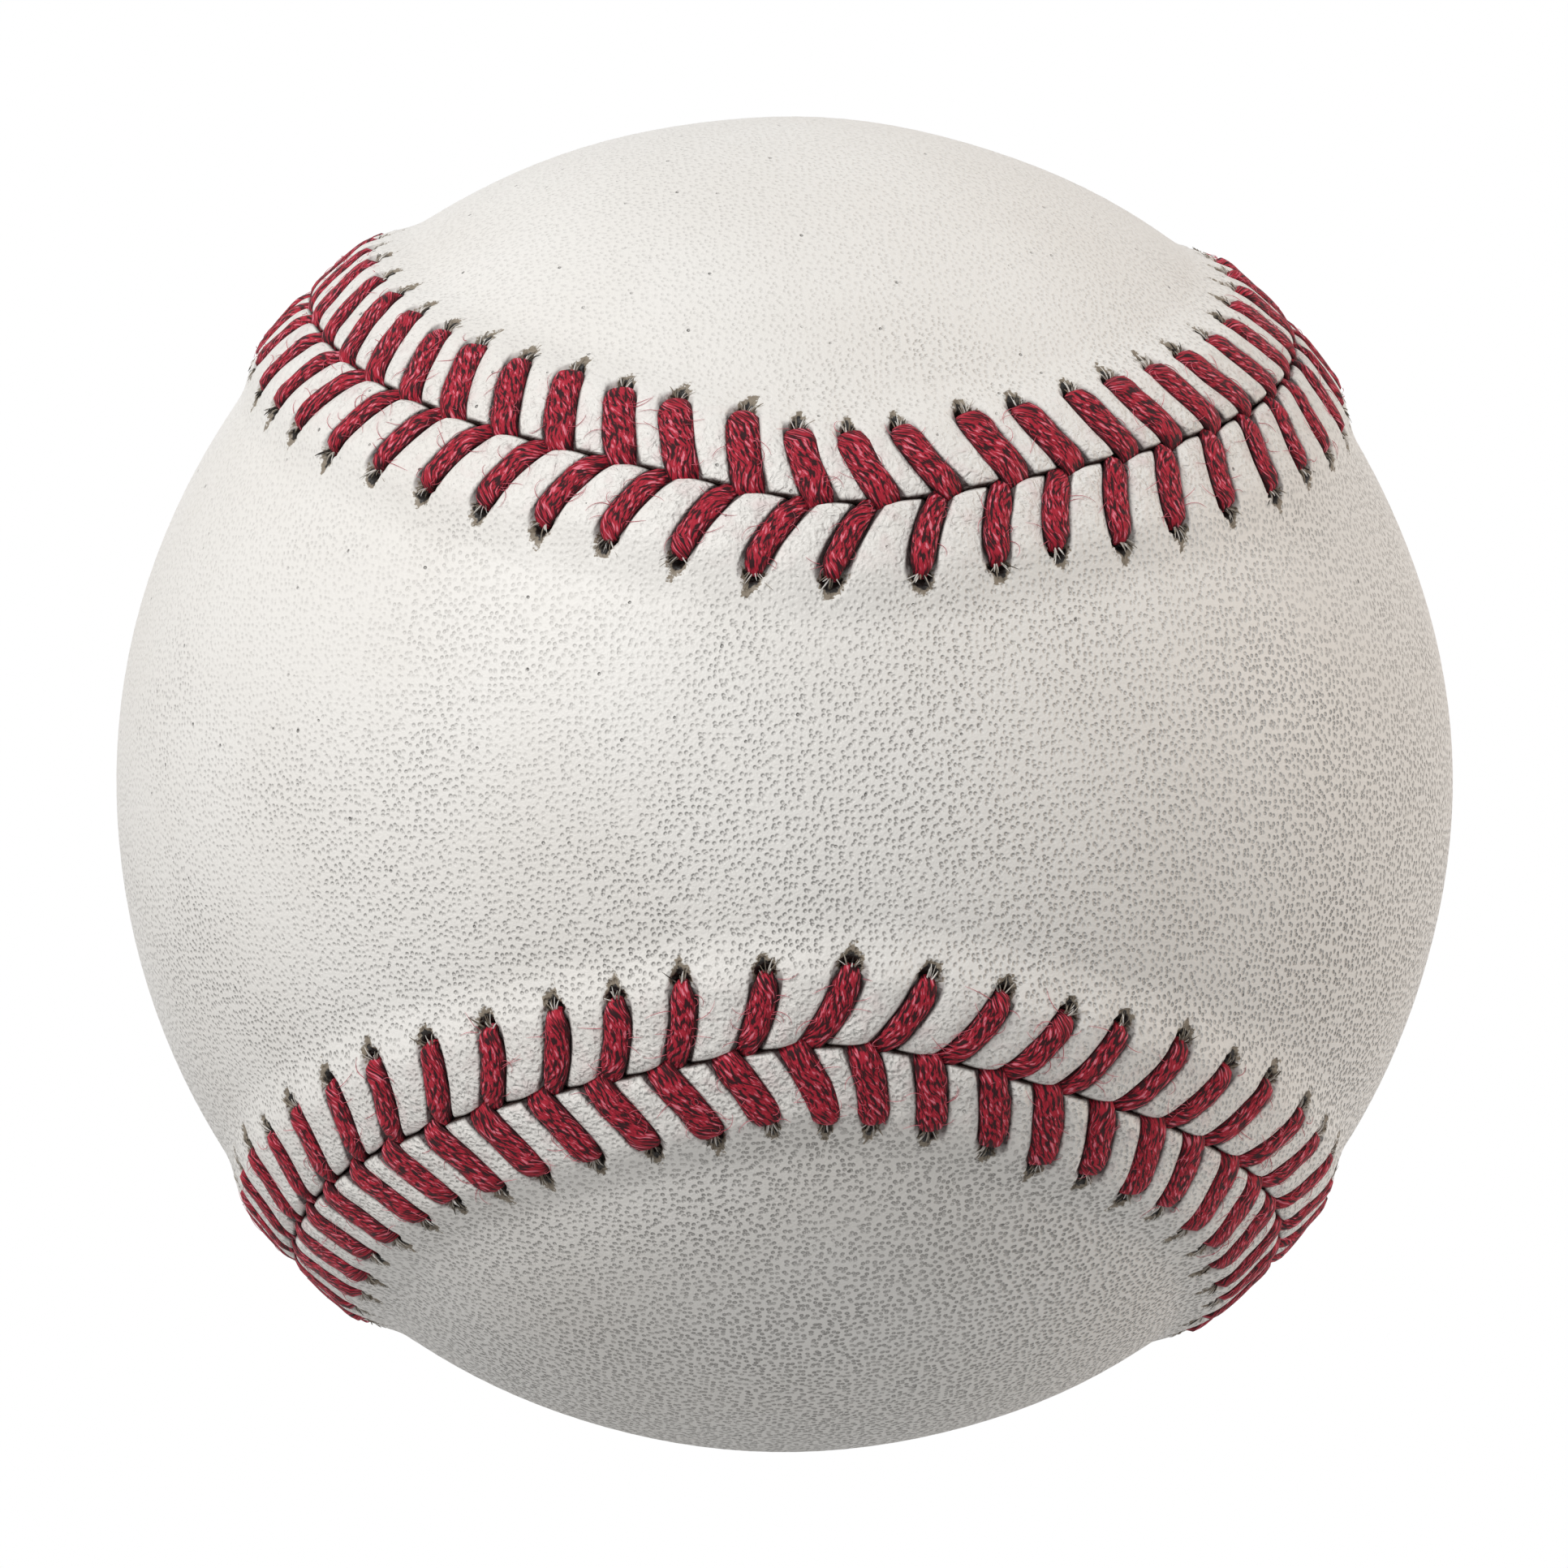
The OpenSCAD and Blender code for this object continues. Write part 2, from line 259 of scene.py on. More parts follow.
class Stitches:
    """Where each leg of the thread lies, with the small differences of sewing by hand."""

    # Spread of the foot, the lean and the reach from stitch to stitch, and of the width as a share
    FOOT_SPREAD = 0.09 * MM
    LEAN_SPREAD = 0.13 * MM
    REACH_SPREAD = 0.13 * MM
    WIDTH_SPREAD_SHARE = 0.045
    # How much of a leg's lean it has near its foot: 1 is a straight leg
    BEND = {FRONT: 1.75, BACK: 1.3}
    # The curved legs are pulled tighter than the straight ones, so they lie narrower
    WIDTH_SHARE = {FRONT: 0.83, BACK: 1.05}

    def __init__(self, seam, settings):
        self.seam = seam
        self.count = settings.stitches
        self.pitch = seam.length / settings.stitches
        self.foot_step = settings.foot_step
        self.mean_reach = settings.reach
        self.mean_lean = settings.lean
        rng = np.random.default_rng(11)

        def spread(size):
            values = np.clip(rng.normal(0, size, (2, self.count)), -2 * size, 2 * size)
            return {FRONT: values[0], BACK: values[1]}

        self.foot_shift = spread(self.FOOT_SPREAD)
        self.lean_shift = spread(self.LEAN_SPREAD)
        self.reach_shift = spread(self.REACH_SPREAD)
        self.width_shift_share = spread(self.WIDTH_SPREAD_SHARE)

    def lean_share(self, side, distance):
        """Share of a leg's lean that it has at a distance from the seam."""
        share = np.clip(distance / self.mean_reach, 0, 1)
        return 1 - (1 - share) ** self.BEND[side]

    def run_of(self, side, stitch, distance):
        """Length along the seam of the middle of a leg, at a distance from the seam."""
        foot = (stitch + 0.5) * self.pitch + side * self.foot_step + self.foot_shift[side][stitch]
        lean = self.mean_lean + self.lean_shift[side][stitch]
        return foot - lean * self.lean_share(side, distance)

    def reach_of(self, side, stitch):
        return self.mean_reach + self.reach_shift[side][stitch]

    def nearest(self, side, run, distance):
        """The leg nearest to a place, and how far the place lies from its middle, square to it."""
        mean_run = run - side * self.foot_step + self.mean_lean * self.lean_share(side, distance)
        stitch = np.floor(mean_run / self.pitch).astype(int) % self.count
        off = run - self.run_of(side, stitch, distance)
        off = off - self.seam.length * np.round(off / self.seam.length)
        slope = self.mean_lean * self.BEND[side] / self.mean_reach
        slope = slope * np.clip(1 - distance / self.mean_reach, 0, 1) ** (self.BEND[side] - 1)
        return stitch, off / np.sqrt(1 + slope * slope)


def ripples(places, wavelength, seed, waves=14, spread=(0.7, 1.4)):
    """Soft uneven ups and downs in space, between about -1 and 1."""
    rng = np.random.default_rng(seed)
    total = 0
    for _ in range(waves):
        way = unit(rng.normal(size=3)) * 2 * math.pi / (wavelength * rng.uniform(*spread))
        total = total + np.sin(places @ way + rng.uniform(0, 2 * math.pi))
    return total / math.sqrt(waves)


# The leather

class Leather:
    """Height of the leather over the ball's smooth radius, and the marks of the sewing on it."""

    # Distance from the seam to the leather's edge between stitches, how much more it is beside the
    # thread, and how far along the seam and away from it the thread draws the leather apart
    EDGE = 0.03 * MM
    THREAD_OPENING = 0.3 * MM
    OPENING_HALF_LENGTH = 0.95 * MM
    OPENING_REACH = 1.3 * MM
    # Distance from the seam over which the edge rolls down into it, and how deep it rolls
    ROLL = 1.05 * MM
    ROLL_DEPTH = 0.44 * MM
    # Distance from the seam at which the ridge's flat top ends, and length of its slope down to the
    # smooth ball
    CROWN_FAR = 3.7 * MM
    RIDGE_SLOPE = 3.5 * MM
    # The swelling between two legs: its height, where it starts and is full beside a leg's middle,
    # and the distances from the seam over which it fades
    PILLOW = 0.17 * MM
    PILLOW_SIDE = (0.35 * MM, 1.5 * MM)
    PILLOW_FADE = (CROWN_FAR - 0.3 * MM, CROWN_FAR + 1.6 * MM)
    # The groove under a leg: its half width, that of its floor, and where it fades past the leg's reach
    GROOVE_HALF = 1.05 * MM
    GROOVE_FLOOR_HALF = 0.5 * MM
    GROOVE_FADE = (-0.35 * MM, 0.45 * MM)
    # Each hole: how far its middle lies past the leg's reach, its half length, half width and depth
    HOLE_PAST = 0.32 * MM
    HOLE_HALF_LENGTH = 0.82 * MM
    HOLE_HALF_WIDTH = 0.5 * MM
    HOLE_DEPTH = 0.62 * MM
    # A hole narrows outwards by a share of its width, from a share of its half length on. Its rim is
    # uneven by a share, over a length
    HOLE_TAPER = 0.55
    HOLE_TAPER_START = -0.4
    HOLE_RAGGEDNESS = 0.22
    HOLE_RAG_LENGTH = 0.5 * MM
    # The lower the power, the steeper a hole's walls. Its outer end is shallower by a share, which is
    # reached over a distance past the leg's reach
    HOLE_WALL_POWER = 0.7
    HOLE_SHALLOWING = 0.65
    HOLE_RAMP = 0.7 * MM
    # The lip round a hole: its height, its width as a share of the hole, and the distances from the
    # seam over which it starts
    LIP = 0.07 * MM
    LIP_SPREAD = 0.9
    LIP_RISE = (CROWN_FAR - 0.2 * MM, CROWN_FAR + 0.6 * MM)
    # Creases that run on from the holes: their height, and how soon they start and fade out
    CREASE = 0.055 * MM
    CREASE_RISE = 0.5 * MM
    CREASE_REACH = 1.8 * MM
    # The unevenness of hand-stretched leather all over, and of the gathered leather near the seam
    LUMP = 0.05 * MM
    LUMP_LENGTH = 17 * MM
    WRINKLE = 0.022 * MM
    WRINKLE_LENGTH = 2.3 * MM
    WRINKLE_FADE = (5 * MM, 9 * MM)

    def __init__(self, stitches, settings):
        self.stitches = stitches
        self.ridge = settings.ridge_height
        self.groove_depth = settings.groove_depth

    def ridge_height(self, distance):
        fall = np.clip((distance - self.CROWN_FAR) / self.RIDGE_SLOPE, 0, 1)
        return self.ridge * (1 + np.cos(math.pi * fall)) / 2

    def roll(self, distance):
        share = np.clip(1 - distance / self.ROLL, 0, 1)
        return self.ROLL_DEPTH * (1 - np.sqrt(np.clip(1 - share * share, 0, 1)))

    def groove(self, side, stitch, off, distance):
        """Share of the full groove: 1 under the middle of a leg, 0 where there is none."""
        off = np.abs(off) / self.stitches.WIDTH_SHARE[side]
        across = 1 - smooth_step(self.GROOVE_FLOOR_HALF, self.GROOVE_HALF, off)
        reach = self.stitches.reach_of(side, stitch)
        start, end = (reach + past for past in self.GROOVE_FADE)
        return across * (1 - smooth_step(start, end, distance))

    def hole(self, side, stitch, off, distance, places):
        """How deep in a needle hole a place is, from 1 at its middle to 0 at its rim and below outside."""
        past = distance - self.stitches.reach_of(side, stitch) - self.HOLE_PAST
        narrow = 1 + self.HOLE_TAPER * np.clip(past / self.HOLE_HALF_LENGTH, self.HOLE_TAPER_START, 1)
        ragged = 1 + self.HOLE_RAGGEDNESS * ripples(places, self.HOLE_RAG_LENGTH, seed=5)
        length_share = past / self.HOLE_HALF_LENGTH
        width_share = off * narrow / self.HOLE_HALF_WIDTH
        return 1 - (length_share ** 2 + width_share ** 2) * ragged

    def opened(self, run, distance):
        """Distance from the seam once the thread has drawn the edges of the leather apart."""
        phase = np.mod(run / self.stitches.pitch, 1) - 0.5
        beside = np.exp(-((phase * self.stitches.pitch / self.OPENING_HALF_LENGTH) ** 2))
        return distance + self.THREAD_OPENING * beside * (1 - smooth_step(0, self.OPENING_REACH, distance))

    def measure(self, side, run, distance, directions):
        """Height, depth in a hole and share of the groove at each place."""
        places = directions * BALL_RADIUS
        stitch, off = self.stitches.nearest(side, run, distance)
        groove = self.groove(side, stitch, off, distance)
        between = smooth_step(*self.PILLOW_SIDE, np.abs(off))
        sewn = 1 - smooth_step(*self.PILLOW_FADE, distance)
        hole = self.hole(side, stitch, off, distance, places)
        pit = np.clip(hole, 0, 1)
        lip = np.exp(-((np.clip(-hole, 0, None) / self.LIP_SPREAD) ** 2)) * (hole < 0)
        lip = lip * smooth_step(*self.LIP_RISE, distance)
        past = np.clip(distance - self.stitches.reach_of(side, stitch), 0, None)
        pit_depth = self.HOLE_DEPTH * (1 - self.HOLE_SHALLOWING * smooth_step(0, self.HOLE_RAMP, past))
        crease = np.exp(-past / self.CREASE_REACH) * np.cos(2 * math.pi * off / self.stitches.pitch)
        crease = crease * smooth_step(0, self.CREASE_RISE, past)
        wrinkle = self.WRINKLE * ripples(places, self.WRINKLE_LENGTH, seed=2)
        height = (
            self.ridge_height(distance)
            - self.roll(distance)
            - self.groove_depth * groove
            + self.PILLOW * between * sewn
            - pit_depth * pit ** self.HOLE_WALL_POWER
            + self.LIP * lip
            - self.CREASE * crease
            + self.LUMP * ripples(places, self.LUMP_LENGTH, seed=1)
            + wrinkle * (1 - smooth_step(*self.WRINKLE_FADE, distance))
        )
        return height, pit, groove


class LeatherPanel:
    """One panel as a closed shell: rings of points from its edge inwards, on both of its skins."""

    COLUMNS_PER_STITCH = 18
    # How far the columns are drawn together beside the legs, as a share of a stitch
    CROWDING = 0.045
    # Half the angle over a lobe: from its tip to its middle, where the middle line turns back
    LOBE_HALF_ANGLE = math.radians(45)
    # How far from the seam the holes and all marks of the stitches end, and a distance past both
    HOLES_FAR = 5.6 * MM
    STITCHED_REACH = 7.4 * MM
    UNSTITCHED = 2 * STITCHED_REACH
    # Rows over the rolled edge, drawn closer to the seam by a power, the legs, the holes and the slope
    ROLL_ROWS = 7
    ROLL_POWER = 1.5
    LEG_ROWS = 10
    HOLE_ROWS = 14
    SLOPE_ROWS = 5
    # Shares of the way from the last stitched ring to the panel's middle line
    OUTER_SHARES = (
        0.05, 0.1, 0.16, 0.22, 0.28, 0.34, 0.4, 0.46, 0.52, 0.58, 0.64, 0.7, 0.76, 0.82, 0.88, 0.94,
    )
    INNER_SHARES = (0.15, 0.3, 0.45, 0.6, 0.75, 0.9)
    # Which of these rings have half as many points as the ring before
    THINNED_OUTER = (0, 2)
    THINNED_INNER = (0,)

    def __init__(self, side, leather):
        self.side = side
        self.leather = leather
        self.stitches = leather.stitches
        self.seam = self.stitches.seam
        self.points, self.faces = [], []
        self.marks = {"hole": [], "groove": [], "distance": []}
        self.hide_places = []
        self.total = 0

    def columns(self):
        """Places along the edge, from one lobe's tip round the panel, drawn closer beside the legs."""
        share = np.arange(self.COLUMNS_PER_STITCH) / self.COLUMNS_PER_STITCH
        share = share + self.CROWDING * np.sin(4 * math.pi * share)
        stitch = np.arange(self.stitches.count)
        return ((stitch[:, None] + share[None, :]) * self.stitches.pitch).ravel()

    def run_at(self, column, distance):
        """Length along the seam of a column at a distance from it, slanted as the legs are."""
        start = -self.seam.length / 4 if self.side == FRONT else self.seam.length / 2
        run = start - self.side * column
        lean = self.stitches.mean_lean * self.stitches.lean_share(self.side, distance)
        return run + self.side * self.stitches.foot_step - lean

    def middle_line(self, column):
        """The panel's middle line, from the middle of one lobe to that of the other and back."""
        lobe_centre = math.pi - self.seam.neck_angle - self.LOBE_HALF_ANGLE
        share = column / self.seam.length
        share = np.minimum(share, 1 - share)
        turn = lobe_centre * np.sin(math.pi / 2 * (4 * share - 1))
        x, y, z = np.sin(turn), -np.cos(turn), np.zeros_like(turn)
        return np.stack([x, y, z] if self.side == FRONT else [z, -y, x], axis=-1)

    def add(self, directions, radius, marks):
        """Adds a row of points and returns their numbers."""
        count = len(directions)
        # On the flat hide: along the panel's middle line, and across it
        turned = directions if self.side == FRONT else (directions * (1, -1, 1))[:, ::-1]
        along_line, down, across = turned.T
        flat = [np.arctan2(along_line, -down), np.arcsin(np.clip(across, -1, 1)), np.zeros(count)]
        self.hide_places.append(np.stack(flat, axis=-1) * BALL_RADIUS)
        self.points.append(directions * np.broadcast_to(radius, count)[:, None])
        for name, values in zip(self.marks, marks):
            self.marks[name].append(np.broadcast_to(values, count).astype(float))
        self.total += count
        return np.arange(self.total - count, self.total)

    def join(self, ring, other, outwards):
        """Faces between two rings, the second of which has as many points as the first or half."""
        corners = [ring, np.roll(ring, -1)]
        if len(other) < len(ring):
            corners = [corner[::2] for corner in (*corners, np.roll(ring, -2))]
        faces = np.stack([*corners, np.roll(other, -1), other], axis=-1)
        self.faces += (faces[:, ::-1] if outwards else faces).tolist()

    def close_on_middle(self, ring, line, outwards):
        """Faces from the last ring to the middle line, whose points two stretches of the ring share."""
        place = np.arange(len(ring))
        shared = line[np.clip(np.minimum(place, len(ring) - place), 1, len(line)) - 1]
        sides = (ring, np.roll(ring, -1), np.roll(shared, -1), shared)
        for a, b, c, d in zip(*(side.tolist() for side in sides)):
            face = [a, b, c] if c == d else [a, b, c, d]
            self.faces.append(face[::-1] if outwards else face)

    def skin(self, rows, shares, thinned, outwards, height_of):
        """One skin of the panel: stitched rows, then rows by share of the way to the middle line."""
        column = self.columns()
        rings = []
        for distance in rows:
            run = self.run_at(column, distance)
            place = self.leather.opened(run, distance)
            directions = self.seam.beside(run, self.side * place)
            rings.append(self.add(directions, *height_of(run, place, directions)))
        base = directions
        for i, share in enumerate(shares):
            if i in thinned:
                column, base = column[::2], base[::2]
            directions = unit(base * (1 - share) + self.middle_line(column) * share)
            run = self.run_at(column, rows[-1])
            place = np.full(len(column), self.UNSTITCHED)
            rings.append(self.add(directions, *height_of(run, place, directions)))
        for ring, other in zip(rings, rings[1:]):
            self.join(ring, other, outwards)
        half = column[1 : len(column) // 2]
        line = self.middle_line(half)
        place = np.full(len(half), self.UNSTITCHED)
        self.close_on_middle(rings[-1], self.add(line, *height_of(half, place, line)), outwards)
        return rings[0]

    def outer_height(self, run, distance, directions):
        """Distance from the ball's middle, and the marks, on the skin that shows."""
        height, hole, groove = self.leather.measure(self.side, run, distance, directions)
        return BALL_RADIUS + height, (hole, groove, distance)

    def inner_height(self, run, distance, directions):
        """Distance from the ball's middle, and the marks, on the skin over the windings."""
        return YARN_RADIUS + COVER_GAP + self.leather.ridge_height(distance), (0, 0, distance)

    def outer_rows(self):
        """Distances from the seam of the stitched rows, closest together where the forms are finest."""
        edge, roll, crown = self.leather.EDGE, self.leather.ROLL, self.leather.CROWN_FAR
        return np.concatenate([
            edge + (roll - edge) * (np.arange(self.ROLL_ROWS) / self.ROLL_ROWS) ** self.ROLL_POWER,
            np.linspace(roll, crown, self.LEG_ROWS, endpoint=False),
            np.linspace(crown, self.HOLES_FAR, self.HOLE_ROWS, endpoint=False),
            np.linspace(self.HOLES_FAR, self.STITCHED_REACH, self.SLOPE_ROWS),
        ])

    def build(self, name):
        inner_rows = (self.leather.EDGE, self.leather.CROWN_FAR, self.STITCHED_REACH)
        outer = (self.outer_rows(), self.OUTER_SHARES, self.THINNED_OUTER, True, self.outer_height)
        inner = (inner_rows, self.INNER_SHARES, self.THINNED_INNER, False, self.inner_height)
        self.join(self.skin(*outer), self.skin(*inner), False)
        marks = {mark: np.concatenate(values) for mark, values in self.marks.items()}
        places = {"hide_place": np.concatenate(self.hide_places)}
        return mesh_piece(name, np.concatenate(self.points), self.faces, marks, places)


# Pieces

def mesh_piece(name, points, faces, numbers=None, vectors=None):
    """A smooth mesh from points and faces, with named numbers or vectors at its points."""
    mesh = bpy.data.meshes.new(name)
    mesh.from_pydata(points.tolist(), [], faces)
    for kind, field, named in (("FLOAT", "value", numbers), ("FLOAT_VECTOR", "vector", vectors)):
        for label, values in (named or {}).items():
            layer = mesh.attributes.new(label, kind, "POINT")
            layer.data.foreach_set(field, np.asarray(values, dtype=np.float32).ravel())
    mesh.polygons.foreach_set("use_smooth", np.ones(len(mesh.polygons), dtype=bool))
    if mesh.validate():
        raise RuntimeError(f"the mesh of {name} has faces that Blender can't use")
    piece = bpy.data.objects.new(name, mesh)
    bpy.context.scene.collection.objects.link(piece)
    return piece


def finish_piece(piece, material, replaced=()):
    """Gives a piece its material, seats it on the ball's body and hides the packed nodes that it stands
    for.
    """
    piece.data.materials.append(material)
    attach(piece, BODY)
    if replaced:
        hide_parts(*replaced)


# The thread

class ThreadLegs:
    """All the legs of the thread that show: up out of a hole, over the leather and into the seam."""

    RINGS = 22
    SIDES = 20
    # Cross-section: how far down it reaches as a share of how far up, and two powers, lower for a
    # fuller side and a fuller top
    UNDER_SHARE = 0.7
    SIDE_POWER = 0.85
    TOP_POWER = 0.9
    # The plies: how far they stand out as a share, how round they are, their mean height, and how the
    # length of their turn differs from leg to leg
    PLY_RELIEF_SHARE = 0.085
    PLY_POWER = 0.6
    PLY_MEAN = 0.7
    LAY_SPREAD = (0.9, 1.15)
    # How far short of its reach a leg comes up, and how deep under the smooth leather it starts
    SHORT = 0.28 * MM
    HOLE_START = 0.55 * MM
    # The bend out of the hole: its places past the leg's end, and how far the last two are below the
    # height where the leg then rests, from a start before its end and in a number of places
    RISE_PAST = (0.04 * MM, 0.05 * MM, -0.08 * MM)
    RISE_BELOW = (0.5 * MM, 0.08 * MM)
    REST_START = 0.4 * MM
    REST_PLACES = 5
    # Distance from the seam at which a leg turns down, and how much lower its foot is
    TURN = {FRONT: 0.95 * MM, BACK: 0.6 * MM}
    FOOT_DROP = {FRONT: 0.12 * MM, BACK: 0.02 * MM}
    # The bend into the seam: its first place as a share of the turn, its last one past the seam, its
    # heights below the foot, and where it ends, under the smooth leather
    DIVE_SHARE = 0.36
    SEAM_PAST = 0.05 * MM
    DIVE_BELOW = (0.16 * MM, 0.5 * MM)
    SEAM_END = 0.75 * MM
    # Shares of the width and the thickness in the hole and at the foot, and the distances over which
    # they change
    HOLE_WIDTH_SHARE = 0.55
    HOLE_THICKNESS_SHARE = 0.7
    GROWTH_PAST = 0.05 * MM
    GROWTH = 0.75 * MM
    FOOT_WIDTH_SHARE = {FRONT: 0.76, BACK: 0.88}
    FOOT_THICKNESS_SHARE = 0.88
    FOOT_RISE = (0.1 * MM, 1.5 * MM)

    def __init__(self, leather, settings):
        self.stitches = leather.stitches
        self.leather = leather
        self.settings = settings

    def route(self, side, end):
        """Distance from the seam and height over the ball of points along a leg, evenly spaced."""
        turn = self.TURN[side]
        on_leather = np.linspace(end - self.REST_START, turn, self.REST_PLACES)
        groove_floor = self.leather.ridge_height(on_leather) - self.leather.groove_depth
        resting = groove_floor + self.settings.thickness / 2 * self.UNDER_SHARE
        foot = resting[-1] - self.FOOT_DROP[side]
        rise_past = [end + past for past in self.RISE_PAST]
        rise_height = [-self.HOLE_START, *(resting[0] - below for below in self.RISE_BELOW)]
        dive_height = [*(foot - below for below in self.DIVE_BELOW), -self.SEAM_END]
        distance = [*rise_past, *on_leather, turn * self.DIVE_SHARE, 0.0, -self.SEAM_PAST]
        height = [*rise_height, *resting, *dive_height]
        return curve_through(np.stack([distance, height], axis=-1), self.RINGS)

    def build(self):
        points, faces, places = [], [], []
        angle = 2 * math.pi * np.arange(self.SIDES) / self.SIDES
        # How low each point lies round its leg, from -1 on top to 1 underneath, for the painted shade on
        # the thread's underside
        underside = np.tile(-np.sin(angle), self.RINGS * 2 * self.stitches.count)
        rings = np.arange(self.RINGS * self.SIDES).reshape(self.RINGS, self.SIDES)
        after = np.roll(rings, -1, axis=1)
        walls = np.stack([rings[1:], after[1:], after[:-1], rings[:-1]], axis=-1).reshape(-1, 4)
        caps = [rings[0], rings[-1][::-1]]
        rng = np.random.default_rng(23)
        for side in (FRONT, BACK):
            for stitch in range(self.stitches.count):
                shape, along = self.leg(side, stitch, angle, rng)
                first = len(points) * self.RINGS * self.SIDES
                faces += (walls + first).tolist()
                faces += [(cap + first).tolist() for cap in caps]
                points.append(shape.reshape(-1, 3))
                places.append(along.reshape(-1, 3))
        marks = {"underside": underside}, {"thread_place": np.concatenate(places)}
        return mesh_piece("seam_thread_stitches", np.concatenate(points), faces, *marks)

    def leg(self, side, stitch, angle, rng):
        """The rings of one leg, and each point's place along the thread, round it and from the seam."""
        end = self.stitches.reach_of(side, stitch) - self.SHORT
        distance, height = self.route(side, end).T
        run = self.stitches.run_of(side, stitch, np.clip(distance, 0, None))
        middle = self.stitches.seam.beside(run, side * distance) * (BALL_RADIUS + height)[:, None]
        way = unit(np.gradient(middle, axis=0))
        wide = unit(np.cross(way, unit(middle)))
        thick = np.cross(wide, way)
        length = run_along(middle)

        grown = np.sqrt(np.clip((end + self.GROWTH_PAST - distance) / self.GROWTH, 0, 1))
        drawn = 1 - smooth_step(*self.FOOT_RISE, distance)
        width_share = self.HOLE_WIDTH_SHARE + (1 - self.HOLE_WIDTH_SHARE) * grown
        width_share = width_share * (1 - (1 - self.FOOT_WIDTH_SHARE[side]) * drawn)
        width_share = width_share * (1 + self.stitches.width_shift_share[side][stitch])
        half_width = self.settings.width / 2 * width_share * self.stitches.WIDTH_SHARE[side]
        thickness_share = self.HOLE_THICKNESS_SHARE + (1 - self.HOLE_THICKNESS_SHARE) * grown
        thickness_share = thickness_share * (1 - (1 - self.FOOT_THICKNESS_SHARE) * drawn)
        half_thickness = self.settings.thickness / 2 * thickness_share

        start = rng.uniform(0, 2 * math.pi)
        lay = self.settings.lay * rng.uniform(*self.LAY_SPREAD)
        round_thread = angle[None, :] - (start + 2 * math.pi * length / lay)[:, None]
        ply = np.abs(np.cos(self.settings.plies / 2 * round_thread)) ** self.PLY_POWER
        relief = 1 + self.PLY_RELIEF_SHARE * 2 * (ply - self.PLY_MEAN)
        x = bulged(np.cos(angle), self.SIDE_POWER)
        y = bulged(np.sin(angle), self.TOP_POWER)
        y = np.where(y < 0, y * self.UNDER_SHARE, y)
        shape = (
            middle[:, None, :]
            + wide[:, None, :] * (half_width[:, None] * x[None, :] * relief)[..., None]
            + thick[:, None, :] * (half_thickness[:, None] * y[None, :] * relief)[..., None]
        )
        along = [length[:, None] + rng.uniform(0, 1), half_width[:, None] * round_thread, distance[:, None]]
        return shape, np.stack(np.broadcast_arrays(*along), axis=-1)


def bulged(wave, power):
    """A wave between -1 and 1 that is the fuller the lower the power is."""
    return np.sign(wave) * np.abs(wave) ** power


def run_along(points):
    """Length along a line of points, at each of them."""
    return np.concatenate([[0], np.cumsum(np.linalg.norm(np.diff(points, axis=0), axis=-1))])


def curve_through(points, count, steps=12):
    """Evenly spaced places on a smooth curve through the points."""
    padded = np.concatenate([2 * points[:1] - points[1:2], points, 2 * points[-1:] - points[-2:-1]])
    t = np.linspace(0, 1, steps, endpoint=False)[:, None]
    pieces = [
        (2 * b + (c - a) * t + (2 * a - 5 * b + 4 * c - d) * t ** 2 + (3 * b - a - 3 * c + d) * t ** 3) / 2
        for a, b, c, d in zip(padded, padded[1:], padded[2:], padded[3:])
    ]
    fine = np.concatenate(pieces + [points[-1:]])
    length = run_along(fine)
    even = np.linspace(0, length[-1], count)
    return np.stack([np.interp(even, length, values) for values in fine.T], axis=-1)


class Fibres:
    """Fine fibres that stand or lie beside the stitches."""

    # Share of its section that a fibre loses towards its tip, and its corners, up and across
    TAPER = 0.95
    CORNERS = ((1, 0), (-0.5, 0.87), (-0.5, -0.87))

    def __init__(self, leather, count):
        self.stitches = leather.stitches
        self.leather = leather
        self.count = count
        self.points, self.faces = [], []

    def add(self, middle, radius):
        """Adds a three-sided tube along a line, thinner towards its far end and closed at both."""
        way = unit(np.gradient(middle, axis=0))
        up = unit(middle)
        across = unit(np.cross(way, up))
        radius = radius * np.sqrt(1 - np.linspace(0, self.TAPER, len(middle)))[:, None]
        first = len(self.points) * 3 * len(middle)
        corners = [middle + (up * rise + across * side) * radius for rise, side in self.CORNERS]
        self.points.append(np.stack(corners, axis=1).reshape(-1, 3))
        for a in range(first, first + 3 * (len(middle) - 1), 3):
            self.faces += [[a + j, a + 3 + j, a + 3 + i, a + i] for i, j in ((0, 1), (1, 2), (2, 0))]
        last = first + 3 * (len(middle) - 1)
        self.faces += [[first + 2, first + 1, first], [last, last + 1, last + 2]]


